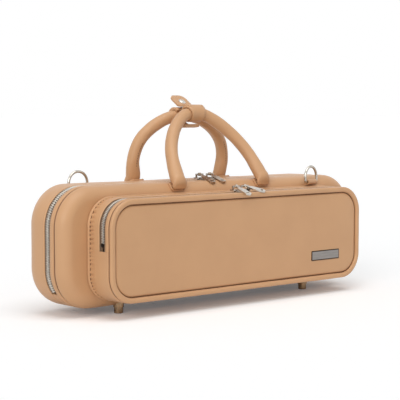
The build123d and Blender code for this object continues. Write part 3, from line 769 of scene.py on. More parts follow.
lid_pad_lip = box_of("lid_padding")[1].y
lid_foam = bowl("lid_foam", case_rings(lid_profile(foam_inset, lid_pad_lip, False)),
                lid_middle, foam_thick, padding_foam)
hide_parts("lid_padding")
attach(lid_foam, "lid")
lid_plush = bowl("lid_plush", case_rings(lid_profile(lining_inset, lid_pad_lip, False)),
                 lid_middle, lining_thick, plush_brown)
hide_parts("lid_lining")
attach(lid_plush, "lid")

hinge_depths = [(0.55, rear_lip - 0.1), (0.15, rear_lip - 0.5), (0.0, rear_lip - 1.4),
                (0.05, zip_y + 1.5), (0.12, zip_y), (0.05, zip_y - 1.5),
                (0.0, gusset_high.y + 1.4), (0.15, gusset_high.y + 0.5),
                (0.55, gusset_high.y + 0.1)]
strip_top = case_bottom + 3.0
strip_middle = (0, zip_y, case_mid)
hinge_strip = formed("hinge_strip", case_rings(hinge_depths), case_leather,
                     middle=strip_middle, cuts=[(strip_top, True)])
thicken(hinge_strip, leather_thick)
for name, depths, body in (("strip_ends_rear", hinge_depths[:5], "rear_half"),
                           ("strip_ends_front", hinge_depths[4:], "lid")):
    strip_ends = formed(name, case_rings(depths), case_leather, middle=strip_middle,
                        cuts=[(hinge_z - 0.3, True), (strip_top,)])
    thicken(strip_ends, leather_thick)
    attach(strip_ends, body)
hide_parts("rear_hinge_leaf", "lid_hinge_leaf")
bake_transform(hinge_strip)


# ---- Front pocket: welt, walls, tapes, piping and padded panel --------------------------------
# A box pocket sewn to the lid over a rolled welt. Its upper wall is gathered along the welt;
# the front panel is padded and edged with flat piping, both fixed in place; the edge strip,
# front tape and front teeth above the fold line are attached to the pocket flap.
pocket_corner = 28.0
welt_low, welt_high = box_of("pocket_welt")
lower_low, lower_high = box_of("pocket_lower_wall")
rear_wall_low, rear_wall_high = box_of("pocket_rear_wall")
strip_low, strip_high = box_of("pocket_strip")
pipe_low, pipe_high = box_of("pocket_piping_lower")
pocket_half_x = lower_high.x
pocket_bottom = lower_low.z
pocket_top = rear_wall_high.z
pocket_half_z = (pocket_top - pocket_bottom) / 2
pocket_mid = (pocket_top + pocket_bottom) / 2
flex_z = (lower_high.z + rear_wall_low.z) / 2
pocket_zip_y = rear_wall_low.y - lip_reach
pocket_middle = (0, (pipe_low.y + lid_face) / 2, pocket_mid)


def pocket_rings(profile, fine=1):
    """Rings round the pocket for a profile of insets and depths."""
    return [rounded_ring(pocket_half_x - inset, pocket_half_z - inset, pocket_corner - inset,
                         y, pocket_mid, fine) for inset, y in profile]


def lifted(rings, lift):
    """Rings moved outwards by lift(along, across), in millimetres."""
    moved = []
    for ring in rings:
        along = 0.0
        fresh = []
        for index, point in enumerate(ring):
            before = ring[index - 1]
            way = ring[(index + 1) % len(ring)] - before
            way.normalize()
            out = Vector((-way.z, 0, way.x))
            fresh.append(point + out * lift(along, abs(point.y - rings[0][0].y)))
            along += (ring[(index + 1) % len(ring)] - point).length
        moved.append(fresh)
    return moved


welt_inset = 0.7
welt_round = 1.7
welt = formed("pocket_welt_roll", pocket_rings(roll_profile(
    welt_inset, (welt_low.y + welt_high.y) / 2, welt_round, welt_round, 14, 0.8), 2),
    case_leather, (0.15, 9, 2.0), loop=True)
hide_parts("pocket_welt")
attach(welt, "lid")

# painted shade: a dark roll laid in the crease under the welt, where there is only shade
welt_groove = formed("welt_groove", pocket_rings(roll_profile(
    0.75, welt_low.y + 0.1, 0.5, 0.65, 8)), cord_and_groove_shade, loop=True)
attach(welt_groove, "lid")

gather_pitch = 4.3
gather_depth = 1.9
gather_run = 3.4
gather_fade = 6.0


def gathered(along, across):
    """Small folds, uneven in depth and spacing, that fade out behind the welt."""
    fade = max(0.0, 1 - max(0.0, across - gather_run) / gather_fade)
    crease = 0.45 * noise.noise(Vector((along / 2.6, 8.0, across / 12)))
    swing = 4.5 * noise.noise(Vector((along / 17, 0.3, across / 22)))
    wave = sin(2 * pi * along / gather_pitch + swing)
    depth = gather_depth * (0.72 + 0.75 * noise.noise(Vector((along / 9, 4.0, 0))))
    return 0.15 + fade * (crease - depth * fade * (0.5 - 0.5 * wave) ** 1.3)


wall_depth = rear_wall_high.y - rear_wall_low.y
wall_grain = 0.75
upper_depths = [(0.0, rear_wall_high.y - step * wall_grain)
                for step in range(int(wall_depth / wall_grain) - 1)]
upper_depths += [(0.05, rear_wall_low.y + 0.9), (0.25, rear_wall_low.y + 0.25),
                 (0.6, rear_wall_low.y), (1.1, rear_wall_low.y + 0.3)]
upper_wall = formed("gathered_wall", lifted(pocket_rings(upper_depths, 4), gathered),
                    case_leather, middle=pocket_middle, cuts=[(flex_z,)])
thicken(upper_wall, leather_thick)
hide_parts("pocket_rear_wall")
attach(upper_wall, "lid")

full_depth = lower_high.y - lower_low.y
lower_depths = [(0.0, lower_high.y - step * wall_grain)
                for step in range(int((full_depth - 1.4) / wall_grain))]
lower_depths += [(0.25, lower_low.y + 0.85), (0.8, lower_low.y + 0.6)]


def eased(along, across):
    """The same folds, weaker below the fold line, and a slack belly further out."""
    belly = 0.35 * noise.noise(Vector((along / 38, 1.7, across / 16)))
    return gathered(along, across) * 0.75 + belly


lower_wall = formed("lower_wall", lifted(pocket_rings(lower_depths, 4), eased), case_leather,
                    middle=pocket_middle, cuts=[(flex_z, True)])
lower_wall_thick = 1.8
thicken(lower_wall, lower_wall_thick, 0.25)
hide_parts("pocket_lower_wall")
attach(lower_wall, "lid")

strip_depths = [(1.05, strip_high.y - 0.3), (0.5, strip_high.y), (0.18, strip_high.y - 0.3),
                (0.0, strip_high.y - 1.0), (0.0, (strip_high.y + strip_low.y) / 2),
                (0.05, strip_low.y + 1.4), (0.3, strip_low.y + 0.8), (0.9, strip_low.y + 0.6)]
flap_low = flex_z + 0.2
edge_strip = formed("edge_strip", pocket_rings(strip_depths, 2), case_leather, (0.2, 14, 5.0),
                    pocket_middle, [(flap_low,)])
thicken(edge_strip, leather_thick)
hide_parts("pocket_strip")
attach(edge_strip, "pocket_flap")

tape("pocket_tape_rear", pocket_rings(tape_depths(pocket_zip_y, 1)), flap_low,
     "pocket_rear_tape", "lid", pocket_middle)
tape("pocket_tape_front", pocket_rings(tape_depths(pocket_zip_y, -1)), flap_low,
     "pocket_front_tape", "pocket_flap", pocket_middle)

pocket_tooth_size = 0.68
stop_rise = 7.0
pocket_arch = arch(pocket_half_x - tooth_sink, pocket_half_z - tooth_sink,
                   pocket_corner - tooth_sink, pocket_zip_y, pocket_mid, flex_z + stop_rise)
zip_rows((("pocket_teeth_rear", 1, "pocket_rear_teeth", "lid"),
          ("pocket_teeth_front", -1, "pocket_front_teeth", "pocket_flap")), pocket_arch,
         pocket_tooth_size)

eyelet_dark = metal("eyelet_dark", (0.03, 0.024, 0.02), 0.5)
eyelet_z = flex_z + stop_rise - 0.8
eyelet_profile = ((1.2, -1.6), (2.0, -0.6), (2.1, -0.1), (1.8, 0.15), (1.3, 0.0), (0.9, -0.5))


def hoop(centre, first, second, sides):
    """Ring of points round a centre, through its first and second radius."""
    return [centre + first * cos(2 * pi * side / sides) + second * sin(2 * pi * side / sides)
            for side in range(sides)]


def joined(name, parts):
    """Several pieces of one finish as one."""
    shape = bmesh.new()
    for part in parts:
        shape.from_mesh(part.data)
    mesh = bpy.data.meshes.new(name)
    shape.to_mesh(mesh)
    shape.free()
    finish = parts[0].data.materials[0]
    for part in parts:
        bpy.data.objects.remove(part)
    return piece(name, mesh, finish)


eyelets = joined("pocket_zip_stops", [formed("eyelet", [
    hoop(Vector((hand * (pocket_half_x + out), pocket_zip_y, eyelet_z)),
         Vector((0, radius, 0)), Vector((0, 0, radius)), 24)
    for radius, out in eyelet_profile], eyelet_dark, ends=True) for hand in (-1, 1)])
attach(eyelets, "lid")

back_low, back_high = box_of("pocket_back_lining")
back_depths = [(2.6, back_high.y), (2.5, back_high.y - 0.4), (2.5, back_low.y + 0.4),
               (2.9, back_low.y), (12, back_low.y), (30, back_low.y - 0.1),
               (48, back_low.y - 0.1)]
back_cloth = formed("pocket_back_cloth", pocket_rings(back_depths), plush_brown, ends=True)
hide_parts("pocket_back_lining")
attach(back_cloth, "lid")

pipe_mid_y = (pipe_low.y + pipe_high.y) / 2
pipe_half = (pipe_high.y - pipe_low.y) / 2
pipe_inset = 2.85
pipe_half_wide = 2.75
piping = formed("pocket_piping", pocket_rings(roll_profile(
    pipe_inset, pipe_mid_y - 0.1, pipe_half_wide, pipe_half - 0.15, 20, 0.72), 2),
    case_leather, (0.22, 20, 8.0), loop=True)
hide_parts("pocket_piping_upper", "pocket_piping_lower")
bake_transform(piping)

panel_low, panel_high = box_of("pocket_panel_lower")
# painted shade: dark rolls laid in the grooves on both sides of the piping, where there is only
# shade
for name, inset, y, half_wide, half_deep in (
        ("panel_groove", 6.1, panel_low.y + 2.0, 1.0, 0.8),
        ("piping_groove", 1.3, strip_low.y - 0.1, 0.6, 0.9)):
    shade_roll = formed(name, pocket_rings(roll_profile(inset, y, half_wide, half_deep, 8)),
                    cord_and_groove_shade, loop=True)
    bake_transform(shade_roll)

panel_inset = 6.7
panel_crown = 0.9
panel_half = 45
panel_rim = [(0.25, 3.1), (0.02, 2.3), (0.1, 1.5), (0.42, 0.85), (1.0, 0.4), (1.8, 0.15),
             (2.8, 0.05), (4.5, 0.0)]
panel_depths = [(panel_inset + 3, panel_high.y), (panel_inset + 0.6, panel_high.y)]
panel_depths += [(panel_inset + away, panel_low.y + deep) for away, deep in panel_rim]
for away in (7, 10, 14, 18, 23, 28, 33, 38, 43):
    swell = 1 - (1 - away / panel_half) ** 2
    panel_depths.append((panel_inset + away, panel_low.y - panel_crown * swell))
panel = formed("pocket_panel", pocket_rings(panel_depths), case_leather, (0.35, 60, 11.0),
               ends=True)
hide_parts("pocket_panel_upper", "pocket_panel_lower")
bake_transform(panel)


# ---- Nameplate ------------------------------------------------------------------------------
# A bare plate of brushed gunmetal with a dark border round it and nothing on its face, fixed
# low on the panel near its right end.
plate_low, plate_high = box_of("nameplate")


def brushed(name, shade, low, high):
    """Brushed metal with a dark border round the face."""
    material, bench = finish_of(name)
    place = bench.node("ShaderNodeTexCoord", out=3)
    stretched = bench.node("ShaderNodeMapping", {}, {"Vector": place,
                                                     "Scale": (60.0, 1400.0, 1400.0)})
    lines = bench.noise(stretched, 1.0, 4.0, 0.7)
    x = bench.node("ShaderNodeSeparateXYZ", {}, {0: place}, 0)
    z = bench.node("ShaderNodeSeparateXYZ", {}, {0: place}, 2)
    middle = (low + high) / 2 * mm
    half = (high - low) / 2 * mm
    off_x = bench.node("ShaderNodeMath", {"operation": "ABSOLUTE"}, {0: x - middle.x})
    off_z = bench.node("ShaderNodeMath", {"operation": "ABSOLUTE"}, {0: z - middle.z})
    inside = bench.node("ShaderNodeMath", {"operation": "MAXIMUM"},
                        {0: off_x - half.x, 1: off_z - half.z})
    border = bench.spread(inside, -0.00125, -0.0010)
    face = bench.mixed(bench.spread(lines, 0.3, 0.7), toned(shade, 0.8), toned(shade, 1.25))
    tone = bench.mixed(border, face, (0.05, 0.032, 0.022))
    coat(bench, {"Base Color": tone, "Metallic": 1.0,
                 "Roughness": bench.spread(lines, 0.3, 0.7, 0.34, 0.5)}, lines, 0.25, 0.0001)
    return material


def plated(finish, *nodes):
    """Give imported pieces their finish."""
    for node in nodes:
        materials = frame["nodes"][node].data.materials
        materials.clear()
        materials.append(finish)


plated(brushed("plate_metal", (0.30, 0.28, 0.265), plate_low, plate_high), "nameplate")


# ---- Handles --------------------------------------------------------------------------------
# Leather rolled round a cord core and sewn along the inside. Each end is flattened into a
# tongue that is stitched over a patch on the edge of the case, so the tube folds down there.
joint_places = {joint["name"]: Vector(joint.get("pos_m", (0, 0, 0))) / mm
                for joint in frame["joints"]}
tube_radius = 6.75
patch_stand = 1.75
tongue_corner = 3.0
handle_leather = leather("handle_leather", tan_hide, 0.4, 0.42)


def handle_line(half_span, splay, straight, shoulder_radius, shoulder_turn):
    """Half of a handle's middle line in its plane, and the radius and height of its crown."""
    enter = radians(-splay)
    leave = enter + radians(shoulder_turn)
    knee = (half_span - straight * sin(enter), straight * cos(enter))
    middle = (knee[0] - shoulder_radius * cos(enter), knee[1] - shoulder_radius * sin(enter))
    line = []
    for step in range(5):
        line.append((half_span + (knee[0] - half_span) * step / 5, knee[1] * step / 5))
    for step in range(21):
        turn = enter + radians(shoulder_turn) * step / 20
        line.append((middle[0] + shoulder_radius * cos(turn),
                     middle[1] + shoulder_radius * sin(turn)))
    crown_radius = line[-1][0] / cos(leave)
    crown_middle = line[-1][1] - crown_radius * sin(leave)
    for step in range(1, 15):
        turn = leave + (pi / 2 - leave) * step / 14
        line.append((crown_radius * cos(turn), crown_middle + crown_radius * sin(turn)))
    return line, crown_radius, crown_middle + crown_radius


tongue_steps = 8
tongue_thick = 1.5
flare = 1.7
root_reach = 26
roll_sides = 28
valley = 0.5


def rolled_handle(name, pivot, lean, shape, edge, edge_round, outward, seat, tongue):
    """Tube that ends in a tongue on each side, and its middle line with widths."""
    line = handle_line(**shape)[0]
    up = Vector((0, sin(radians(lean)), cos(radians(lean))))
    plane_out = Vector((0, -cos(radians(lean)), sin(radians(lean)))) * -outward
    half = []
    for step in range(tongue_steps):
        share = 1 - step / tongue_steps
        turn = radians(seat + tongue * share)
        flat = share * share * (3 - 2 * share)
        half_thick = tube_radius * (1 - flat) + tongue_thick * flat
        cut_in = tongue_corner * (1 - sqrt(1 - max(0.0, 2.6 * share - 1.62) ** 2))
        half_wide = tube_radius + flare + 1.4 * flat - cut_in
        out = Vector((0, outward * sin(turn), cos(turn)))
        settled = edge_round + patch_stand * min(1.0, share * 2) + half_thick + 0.25
        centre = Vector((shape["half_span"], edge.y, edge.z)) + out * settled
        half.append((centre, out, half_wide, half_thick))
    seat_out = Vector((0, outward * sin(radians(seat)), cos(radians(seat))))
    walked = 0.0
    for index, (x, rise) in enumerate(line):
        if index:
            walked += sqrt((x - line[index - 1][0]) ** 2 + (rise - line[index - 1][1]) ** 2)
        near = max(0.0, 1 - walked / root_reach)
        near = near * near * (3 - 2 * near)
        centre = Vector((x, 0, 0)) + Vector((0, pivot.y, pivot.z)) + up * rise
        out = (plane_out * (1 - near) + seat_out * near).normalized()
        half.append((centre, out, tube_radius + flare * near, tube_radius))
    whole = [(Vector((-centre.x, centre.y, centre.z)), out, wide, thick)
             for centre, out, wide, thick in half]
    whole += list(reversed(half[:-1]))
    rings = []
    for index, (centre, out, wide, thick) in enumerate(whole):
        before = whole[max(0, index - 1)][0]
        after = whole[min(len(whole) - 1, index + 1)][0]
        way = (after - before).normalized()
        across = way.cross(out).normalized()
        out = across.cross(way).normalized()
        ring = []
        for side in range(roll_sides):
            turn = 2 * pi * side / roll_sides
            # a shallow valley where the edges of the roll meet, on the inner side
            sink = valley * max(0.0, cos(turn - pi / 2)) ** 24
            ring.append(centre + across * (wide - sink) * sin(turn) * -1
                        + out * (thick - sink) * cos(turn))
        rings.append(ring)
    made = formed(name, rings, handle_leather, (0.34, 12, 2.0), ends=True)
    rounding = made.modifiers.new("rounding", "SUBSURF")
    rounding.levels = 1
    rounding.render_levels = 1
    settle(made, 60)
    return made, whole


lid_edge = Vector((0, lid_face + flank_round, case_top - flank_round))
rear_edge = Vector((0, rear_face - top_round, case_top - top_round))
front_pivot = joint_places["front_handle_swing"]
rear_pivot = joint_places["rear_handle_swing"]
front_shape = {"half_span": 61.1, "splay": -8.6, "straight": 13.8, "shoulder_radius": 89.6,
               "shoulder_turn": 47.2}
rear_shape = {"half_span": 63.3, "splay": 7.8, "straight": 11.0, "shoulder_radius": 42.1,
              "shoulder_turn": 57.7}
front_lean = 32.3
rear_lean = -7.8
front_tube, front_line = rolled_handle("front_handle_roll", front_pivot, front_lean,
                                       front_shape, lid_edge, flank_round, -1, seat=33.5,
                                       tongue=34.0)
rear_tube, rear_line = rolled_handle("rear_handle_roll", rear_pivot, rear_lean, rear_shape,
                                     rear_edge, top_round, 1, seat=40.0, tongue=42.0)


def bend_at_root(made):
    """Keep the piece where it stands, its place written into its mesh; it does not turn with a
    handle.
    """
    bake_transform(made)


def hang(made, node):
    """Hide the imported handle; the roll, tongues and tube alike, stays where it stands on the
    case.
    """
    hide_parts(node)
    bend_at_root(made)


hang(front_tube, "front_handle")
hang(rear_tube, "rear_handle")


# ---- Handle patches -------------------------------------------------------------------------
# Flat patches of the same leather, folded over the edge of the case under each handle end,
# with a line of stitches down each side. The roll of each handle is sewn shut along its leg.
patch_half = 9.6
patch_thick = 1.6
patch_corner = 4.0
patch_steps = 24
stitch_inset = 1.7


def ribbon(name, spine, finish, thick, middle, across_steps=10, edge=0.35, lively=0.12):
    """Strip of leather: spine holds points of its outer face and half widths, across X."""
    rows = []
    for point, half in spine:
        rows.append([point + Vector((half * (2 * step / across_steps - 1), 0, 0))
                     for step in range(across_steps + 1)])
    made = formed(name, rows, finish, (lively, 8, 6.0), middle, round_shut=False)
    thicken(made, thick, edge)
    return made


def rounded_half(half, corner, left):
    """Half width of a strip at a distance left from its round-cornered end."""
    if left >= corner:
        return half
    return half - corner + sqrt(max(0.0, corner ** 2 - (corner - left) ** 2))


def patch_spine(x, edge, edge_round, outward, high_turn, low_turn, drop):
    """Outer face of a patch from the top of the case round its edge."""
    reach = edge_round + patch_thick + 0.05
    spots = []
    for step in range(patch_steps + 1):
        turn = radians(high_turn + (low_turn - high_turn) * step / patch_steps)
        spots.append(edge + Vector((x, outward * reach * sin(turn), reach * cos(turn))))
    drop_steps = int(drop / 2)
    for step in range(1, drop_steps + 1):
        spots.append(spots[patch_steps] + Vector((0, 0, -drop * step / drop_steps)))
    total = sum((b - a).length for a, b in zip(spots, spots[1:]))
    spine, walked = [], 0.0
    for index, spot in enumerate(spots):
        if index:
            walked += (spot - spots[index - 1]).length
        left = min(walked, total - walked)
        spine.append((spot, rounded_half(patch_half, patch_corner, max(0.05, left))))
    return spine


stitch_thread = leather("stitch_thread", (0.20, 0.10, 0.05), 0.2, 0.7)


stitch_long = 2.2
stitch_thick = 0.62


def stitch_shape(name):
    """One stitch of waxed thread: a short bent bead with tapered ends."""
    sides = 6
    rings = []
    for along, size, rise in ((-0.5, 0.35, -0.25), (-0.36, 0.85, 0.0), (0.0, 1.0, 0.12),
                              (0.36, 0.85, 0.0), (0.5, 0.35, -0.25)):
        turns = [2 * pi * step / sides for step in range(sides)]
        rings.append([Vector((along * stitch_long, cos(turn) * stitch_thick / 2 * size,
                              (sin(turn) / 2 * size + rise) * stitch_thick)) for turn in turns])
    return bead(name, rings)


stitch = stitch_shape("stitch")
stitch_pitch = 3.0


def patches(name, node, body, half_span, edge, edge_round, outward, high_turn, low_turn, drop):
    """Both patches of one handle, and their stitches."""
    made, seams = [], []
    for hand in (-1, 1):
        spine = patch_spine(hand * half_span, edge, edge_round, outward, high_turn, low_turn,
                            drop)
        made.append(ribbon(f"{name}_{hand}", spine, case_leather, patch_thick, (
            hand * half_span, edge.y, edge.z)))
        for side in (-1, 1):
            line = [spot + Vector((side * (half - stitch_inset), 0, 0))
                    for spot, half in spine[2:-2]]
            seams.append(row_of("seam", line, stitch, stitch_thread, stitch_pitch, 1.0, 0.1))
    both = joined(name, made)
    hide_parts(node)
    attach(both, body)
    sewn = joined(name + "_stitches", seams)
    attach(sewn, body)


patches("front_patches", "lid_handle_patches", "lid", front_shape["half_span"], lid_edge,
        flank_round, -1, high_turn=24.0, low_turn=72.0, drop=0.0)
patches("rear_patches", "rear_handle_patches", "rear_half", rear_shape["half_span"], rear_edge,
        top_round, 1, high_turn=14.0, low_turn=90.0, drop=22.0)

seam_first, seam_last = 10, 27
seam_pitch = 2.6


def seam_stitches(name, line):
    """Stitches that shut the roll on each leg, on the side that faces the other handle."""
    legs = []
    for leg in (line, list(reversed(line))):
        spots = [centre - out * (thick + 0.05) for centre, out, wide, thick
                 in leg[seam_first:seam_last]]
        legs.append(row_of("seam", spots, stitch, stitch_thread, seam_pitch, 0.0, 0.1))
    sewn = joined(name, legs)
    bend_at_root(sewn)


seam_stitches("front_handle_stitches", front_line)
seam_stitches("rear_handle_stitches", rear_line)


# ---- Keeper ---------------------------------------------------------------------------------
# A sleeve sewn round the crown of the front handle, with a flap that folds back over a strap
# on the rear handle and snaps to it. The flap stands open: the snap's dome shows on top of it,
# and its socket underneath.
keeper_half = 10.5
keeper_thick = 2.2
keeper_slack = 0.2
front_crown_radius, front_crown_top = handle_line(**front_shape)[1:]
rear_crown_radius, rear_crown_top = handle_line(**rear_shape)[1:]


def in_plane(pivot, lean, x, rise):
    """Point of a handle's plane."""
    return Vector((x, pivot.y + rise * sin(radians(lean)), pivot.z + rise * cos(radians(lean))))


front_crown = in_plane(front_pivot, front_lean, 0, front_crown_top)
rear_crown = in_plane(rear_pivot, rear_lean, 0, rear_crown_top)
sleeve_bore = tube_radius + keeper_slack
sleeve_outer = sleeve_bore + keeper_thick
sleeve_profile = [(-keeper_half + 0.5, sleeve_bore), (-keeper_half, sleeve_bore + 0.5),
                  (-keeper_half, sleeve_outer - 0.7), (-keeper_half + 0.5, sleeve_outer - 0.15)]
sleeve_profile += [(step * 2.0, sleeve_outer) for step in range(-4, 5)]
sleeve_profile += [(-along, radius) for along, radius in reversed(sleeve_profile[:4])]
sleeve_profile += [(step * 2.4, sleeve_bore) for step in range(3, -4, -1)]
sleeve_rings = []
for along, radius in sleeve_profile:
    turn = along / front_crown_radius
    centre = in_plane(front_pivot, front_lean, front_crown_radius * sin(turn),
                      front_crown_top - front_crown_radius * (1 - cos(turn)))
    up = Vector((sin(turn), cos(turn) * sin(radians(front_lean)),
                 cos(turn) * cos(radians(front_lean))))
    out = Vector((0, -cos(radians(front_lean)), sin(radians(front_lean))))
    sleeve_rings.append(hoop(centre, up * radius, out * radius, 32))
sleeve = formed("keeper_sleeve_roll", sleeve_rings, handle_leather, (0.15, 10, 3.0), loop=True)
sheet_top = front_crown.z + sleeve_outer
fold_y = joint_places["keeper_fold"].y
leaf_half = keeper_half - 0.25
wrap_turn = 34.0
sheet_spine = []
for step in range(9):
    turn = radians(-wrap_turn + wrap_turn * step / 8)
    reach = sleeve_outer + 0.02
    sheet_spine.append((Vector((0, front_crown.y + reach * sin(turn),
                                front_crown.z + reach * cos(turn))), leaf_half))
for step in range(1, 8):
    y = front_crown.y + (fold_y - front_crown.y) * step / 7
    sheet_spine.append((Vector((0, y, sheet_top)), leaf_half))
sheet = ribbon("keeper_sheet", sheet_spine, handle_leather, keeper_thick,
               (0, front_crown.y, front_crown.z - 8))
keeper_both = joined("keeper_wrap", [sleeve, sheet])
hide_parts("keeper_sleeve")
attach(keeper_both, "front_handle")

flap_rise = radians(34.0)
flap_long = 18.5
flap_corner = 7.0
fold_spot = Vector((0, fold_y, sheet_top))
along_flap = Vector((0, cos(flap_rise), sin(flap_rise)))
off_flap = Vector((0, -sin(flap_rise), cos(flap_rise)))
flap_spine = []
for step in range(16):
    walked = flap_long * step / 15
    flap_spine.append((fold_spot + along_flap * walked,
                       rounded_half(leaf_half, flap_corner, max(0.1, flap_long - walked))))
flap = ribbon("keeper_flap_leaf", flap_spine, handle_leather, keeper_thick,
              (0, fold_y, sheet_top - 30), 16, 0.5)
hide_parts("keeper_flap")
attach(flap, "keeper_flap")

strap_shift = -3.0
strap_edge = keeper_half + abs(strap_shift)
strap_drop = rear_crown_radius - sqrt(rear_crown_radius ** 2 - strap_edge ** 2)
strap_bore = tube_radius + strap_drop / 2 + keeper_slack
strap_z = rear_crown.z - strap_drop / 2
strap_over = 45.0
strap_leave = 52.0
strap_thick = keeper_thick + 0.9
strap_reach = strap_bore + keeper_thick
loose_reach = 19.2
loose_hang = 11.6
strap_spine = []
for step in range(25):
    turn = radians(-strap_over + (180 - strap_leave + strap_over) * step / 24)
    strap_spine.append((Vector((strap_shift, rear_crown.y + strap_reach * sin(turn),
                                strap_z + strap_reach * cos(turn))), keeper_half))
leaving = strap_spine[-1][0]
loose_end = Vector((strap_shift, rear_crown.y - loose_reach, strap_z - loose_hang))
heading = Vector((0, -cos(radians(strap_leave)), -sin(radians(strap_leave))))
bent = leaving + heading * (leaving - loose_end).length * 0.45
for step in range(1, 13):
    share = step / 12
    spot = (leaving * (1 - share) ** 2 + bent * 2 * share * (1 - share)
            + loose_end * share ** 2)
    strap_spine.append((spot, keeper_half))
strap = ribbon("keeper_strap_leaf", strap_spine, handle_leather, strap_thick,
               (strap_shift, rear_crown.y - 4, strap_z), 10, 0.4)
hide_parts("keeper_strap")
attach(strap, "rear_handle")

bright_metal = metal("bright_metal", (0.66, 0.63, 0.58), 0.20)
plated(bright_metal, "snap_cap", "snap_stud")

snap_from_fold = 6.0
dome_middle = fold_spot + along_flap * snap_from_fold
dome_profile = ((4.1, -0.1), (4.2, 0.25), (3.9, 0.6), (3.5, 0.62), (3.1, 0.95), (2.2, 1.3),
                (1.1, 1.5), (0.3, 1.53))
dome = formed("snap_dome", [hoop(dome_middle + off_flap * rise, Vector((radius, 0, 0)),
                                 along_flap * radius, 32) for radius, rise in dome_profile],
              bright_metal, crease=35, ends=True)
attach(dome, "keeper_flap")


# ---- Strap rings and their tabs ---------------------------------------------------------------
# Wire rings for a shoulder strap, one at each end of the case, held by short leather loops
# that are sewn down on the edge.
tab_half = 8.5
tab_outer = 3.4
tab_thick = 1.3
ring_metal = metal("ring_metal", (0.60, 0.56, 0.50), 0.22)


def ring_tab(name, node, body, x, bar, edge, edge_round, outward, yaw):
    """Loop of leather round the ring's bar, its ends against the case."""
    turns = [(edge, edge_round + 0.4, turn) for turn in (92, 84, 76)]
    turns += [(bar, tab_outer, 118 - 150 * step / 14) for step in range(15)]
    spine = [(middle + Vector((0, outward * reach * sin(radians(turn)),
                               reach * cos(radians(turn)))), tab_half)
             for middle, reach, turn in turns]
    made = ribbon(name, spine, case_leather, tab_thick, (0, edge.y, edge.z), 8, 0.3, 0.05)
    turning = (Matrix.Translation(Vector((x, bar.y, 0)) * mm)
               @ Matrix.Rotation(radians(yaw), 4, "Z")
               @ Matrix.Translation(Vector((0, -bar.y, 0)) * mm))
    made.data.transform(turning)
    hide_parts(node)
    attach(made, body)


front_bar = joint_places["front_ring_swing"]
rear_bar = joint_places["rear_ring_swing"]
ring_tab("front_tab", "lid_ring_tab", "lid", front_bar.x, Vector((0, front_bar.y, front_bar.z)),
         lid_edge, flank_round, -1, 12.0)
ring_tab("rear_tab", "rear_ring_tab", "rear_half", rear_bar.x,
         Vector((0, rear_bar.y, rear_bar.z)), rear_edge, top_round, 1, 0.0)
plated(ring_metal, "front_ring", "rear_ring")


# ---- Sliders, pulls and feet ------------------------------------------------------------------
# Die-cast sliders plated in nickel, with flat pulls that flip over their bridges. The case
# stands on four turned studs of aged brass.
slider_metal = metal("slider_metal", (0.50, 0.46, 0.41), 0.24)
pull_metal = metal("pull_metal", (0.68, 0.64, 0.58), 0.18)
main_pull_metal = metal("main_pull_metal", (0.46, 0.36, 0.27), 0.2)
stud_brass = metal("stud_brass", (0.40, 0.27, 0.16), 0.3)
plated(slider_metal, "main_slider_left", "main_slider_right", "pocket_slider_left",
       "pocket_slider_right")
plated(main_pull_metal, "main_pull_left", "main_pull_right")
plated(pull_metal, "pocket_pull_left", "pocket_pull_right")
plated(stud_brass, "lid_feet", "rear_feet")


# ---- Floor, light and camera ------------------------------------------------------------------
# A pale floor without an edge, a broad overhead light and a softer one from the left front.
# The camera stands about 1.4 metres off with a long lens.
floor_reach = 60.0
floor_mesh = bpy.data.meshes.new("floor")
floor_mesh.from_pydata([(-floor_reach, -floor_reach, 0), (floor_reach, -floor_reach, 0),
                        (floor_reach, floor_reach, 0), (-floor_reach, floor_reach, 0)], [],
                       [(0, 1, 2, 3)])
floor_finish, floor_bench = finish_of("floor_finish")
floor_seen = floor_bench.node("ShaderNodeLightPath", out=0)
floor_glow = floor_bench.mixed(floor_seen, (0.0, 0.0, 0.0), (0.10, 0.105, 0.11))
floor_coat = floor_bench.node("ShaderNodeBsdfPrincipled", {}, {
    "Base Color": (0.97, 0.97, 0.97, 1.0), "Roughness": 0.9, "Specular IOR Level": 0.1,
    "Emission Color": floor_glow, "Emission Strength": 1.0})
floor_bench.node("ShaderNodeOutputMaterial", {}, {"Surface": floor_coat})
floor = bpy.data.objects.new("floor", floor_mesh)
floor_mesh.materials.append(floor_finish)
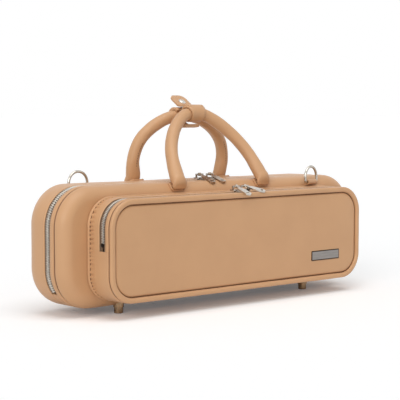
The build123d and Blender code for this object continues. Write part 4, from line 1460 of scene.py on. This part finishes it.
bpy.context.scene.collection.objects.link(floor)

world = bpy.data.worlds.new("studio")
world.use_nodes = True
world.node_tree.nodes.clear()
sky = Bench(world.node_tree)
camera_ray = sky.node("ShaderNodeLightPath", out=0)
glossy_ray = sky.node("ShaderNodeLightPath", out=3)
pass_ray = sky.node("ShaderNodeLightPath", out=6)
seen = sky.node("ShaderNodeMath", {"operation": "MAXIMUM"}, {0: camera_ray, 1: glossy_ray})
seen = sky.node("ShaderNodeMath", {"operation": "MAXIMUM"}, {0: seen, 1: pass_ray})
sky_light = 0.36
strength = sky.spread(seen, 0.0, 1.0, sky_light, 1.0)
air = sky.node("ShaderNodeBackground", {}, {"Color": (1.0, 1.0, 1.0, 1.0),
                                            "Strength": strength})
sky.node("ShaderNodeOutputWorld", {}, {"Surface": air})
bpy.context.scene.world = world


def lamp(name, energy, angle, direction):
    """Distant lamp with a broad face, shining along a direction."""
    light = bpy.data.lights.new(name, "SUN")
    light.energy = energy
    light.angle = radians(angle)
    made = bpy.data.objects.new(name, light)
    made.rotation_mode = "QUATERNION"
    made.rotation_quaternion = Vector(direction).to_track_quat("-Z", "Y")
    bpy.context.scene.collection.objects.link(made)


lamp("overhead", energy=1.42, angle=50, direction=(0.12, 0.25, -1.0))
lamp("left_front", energy=1.05, angle=30, direction=(0.88, 0.52, -0.42))

camera_place = Vector((-945.22, -1032.10, 202.52))
camera_heading = radians(42.0)
camera_dip = radians(3.88)
camera_data = bpy.data.cameras.new("camera")
camera_data.lens = 116.82
camera_data.sensor_width = 36.0
camera_data.shift_y = 0.00125
camera_data.clip_end = 300.0
camera = bpy.data.objects.new("camera", camera_data)
camera.location = camera_place * mm
look = Vector((sin(camera_heading) * cos(camera_dip), cos(camera_heading) * cos(camera_dip),
               -sin(camera_dip)))
camera.rotation_mode = "QUATERNION"
camera.rotation_quaternion = look.to_track_quat("-Z", "Y")
bpy.context.scene.collection.objects.link(camera)
bpy.context.scene.camera = camera
bpy.context.scene.view_settings.view_transform = "Standard"
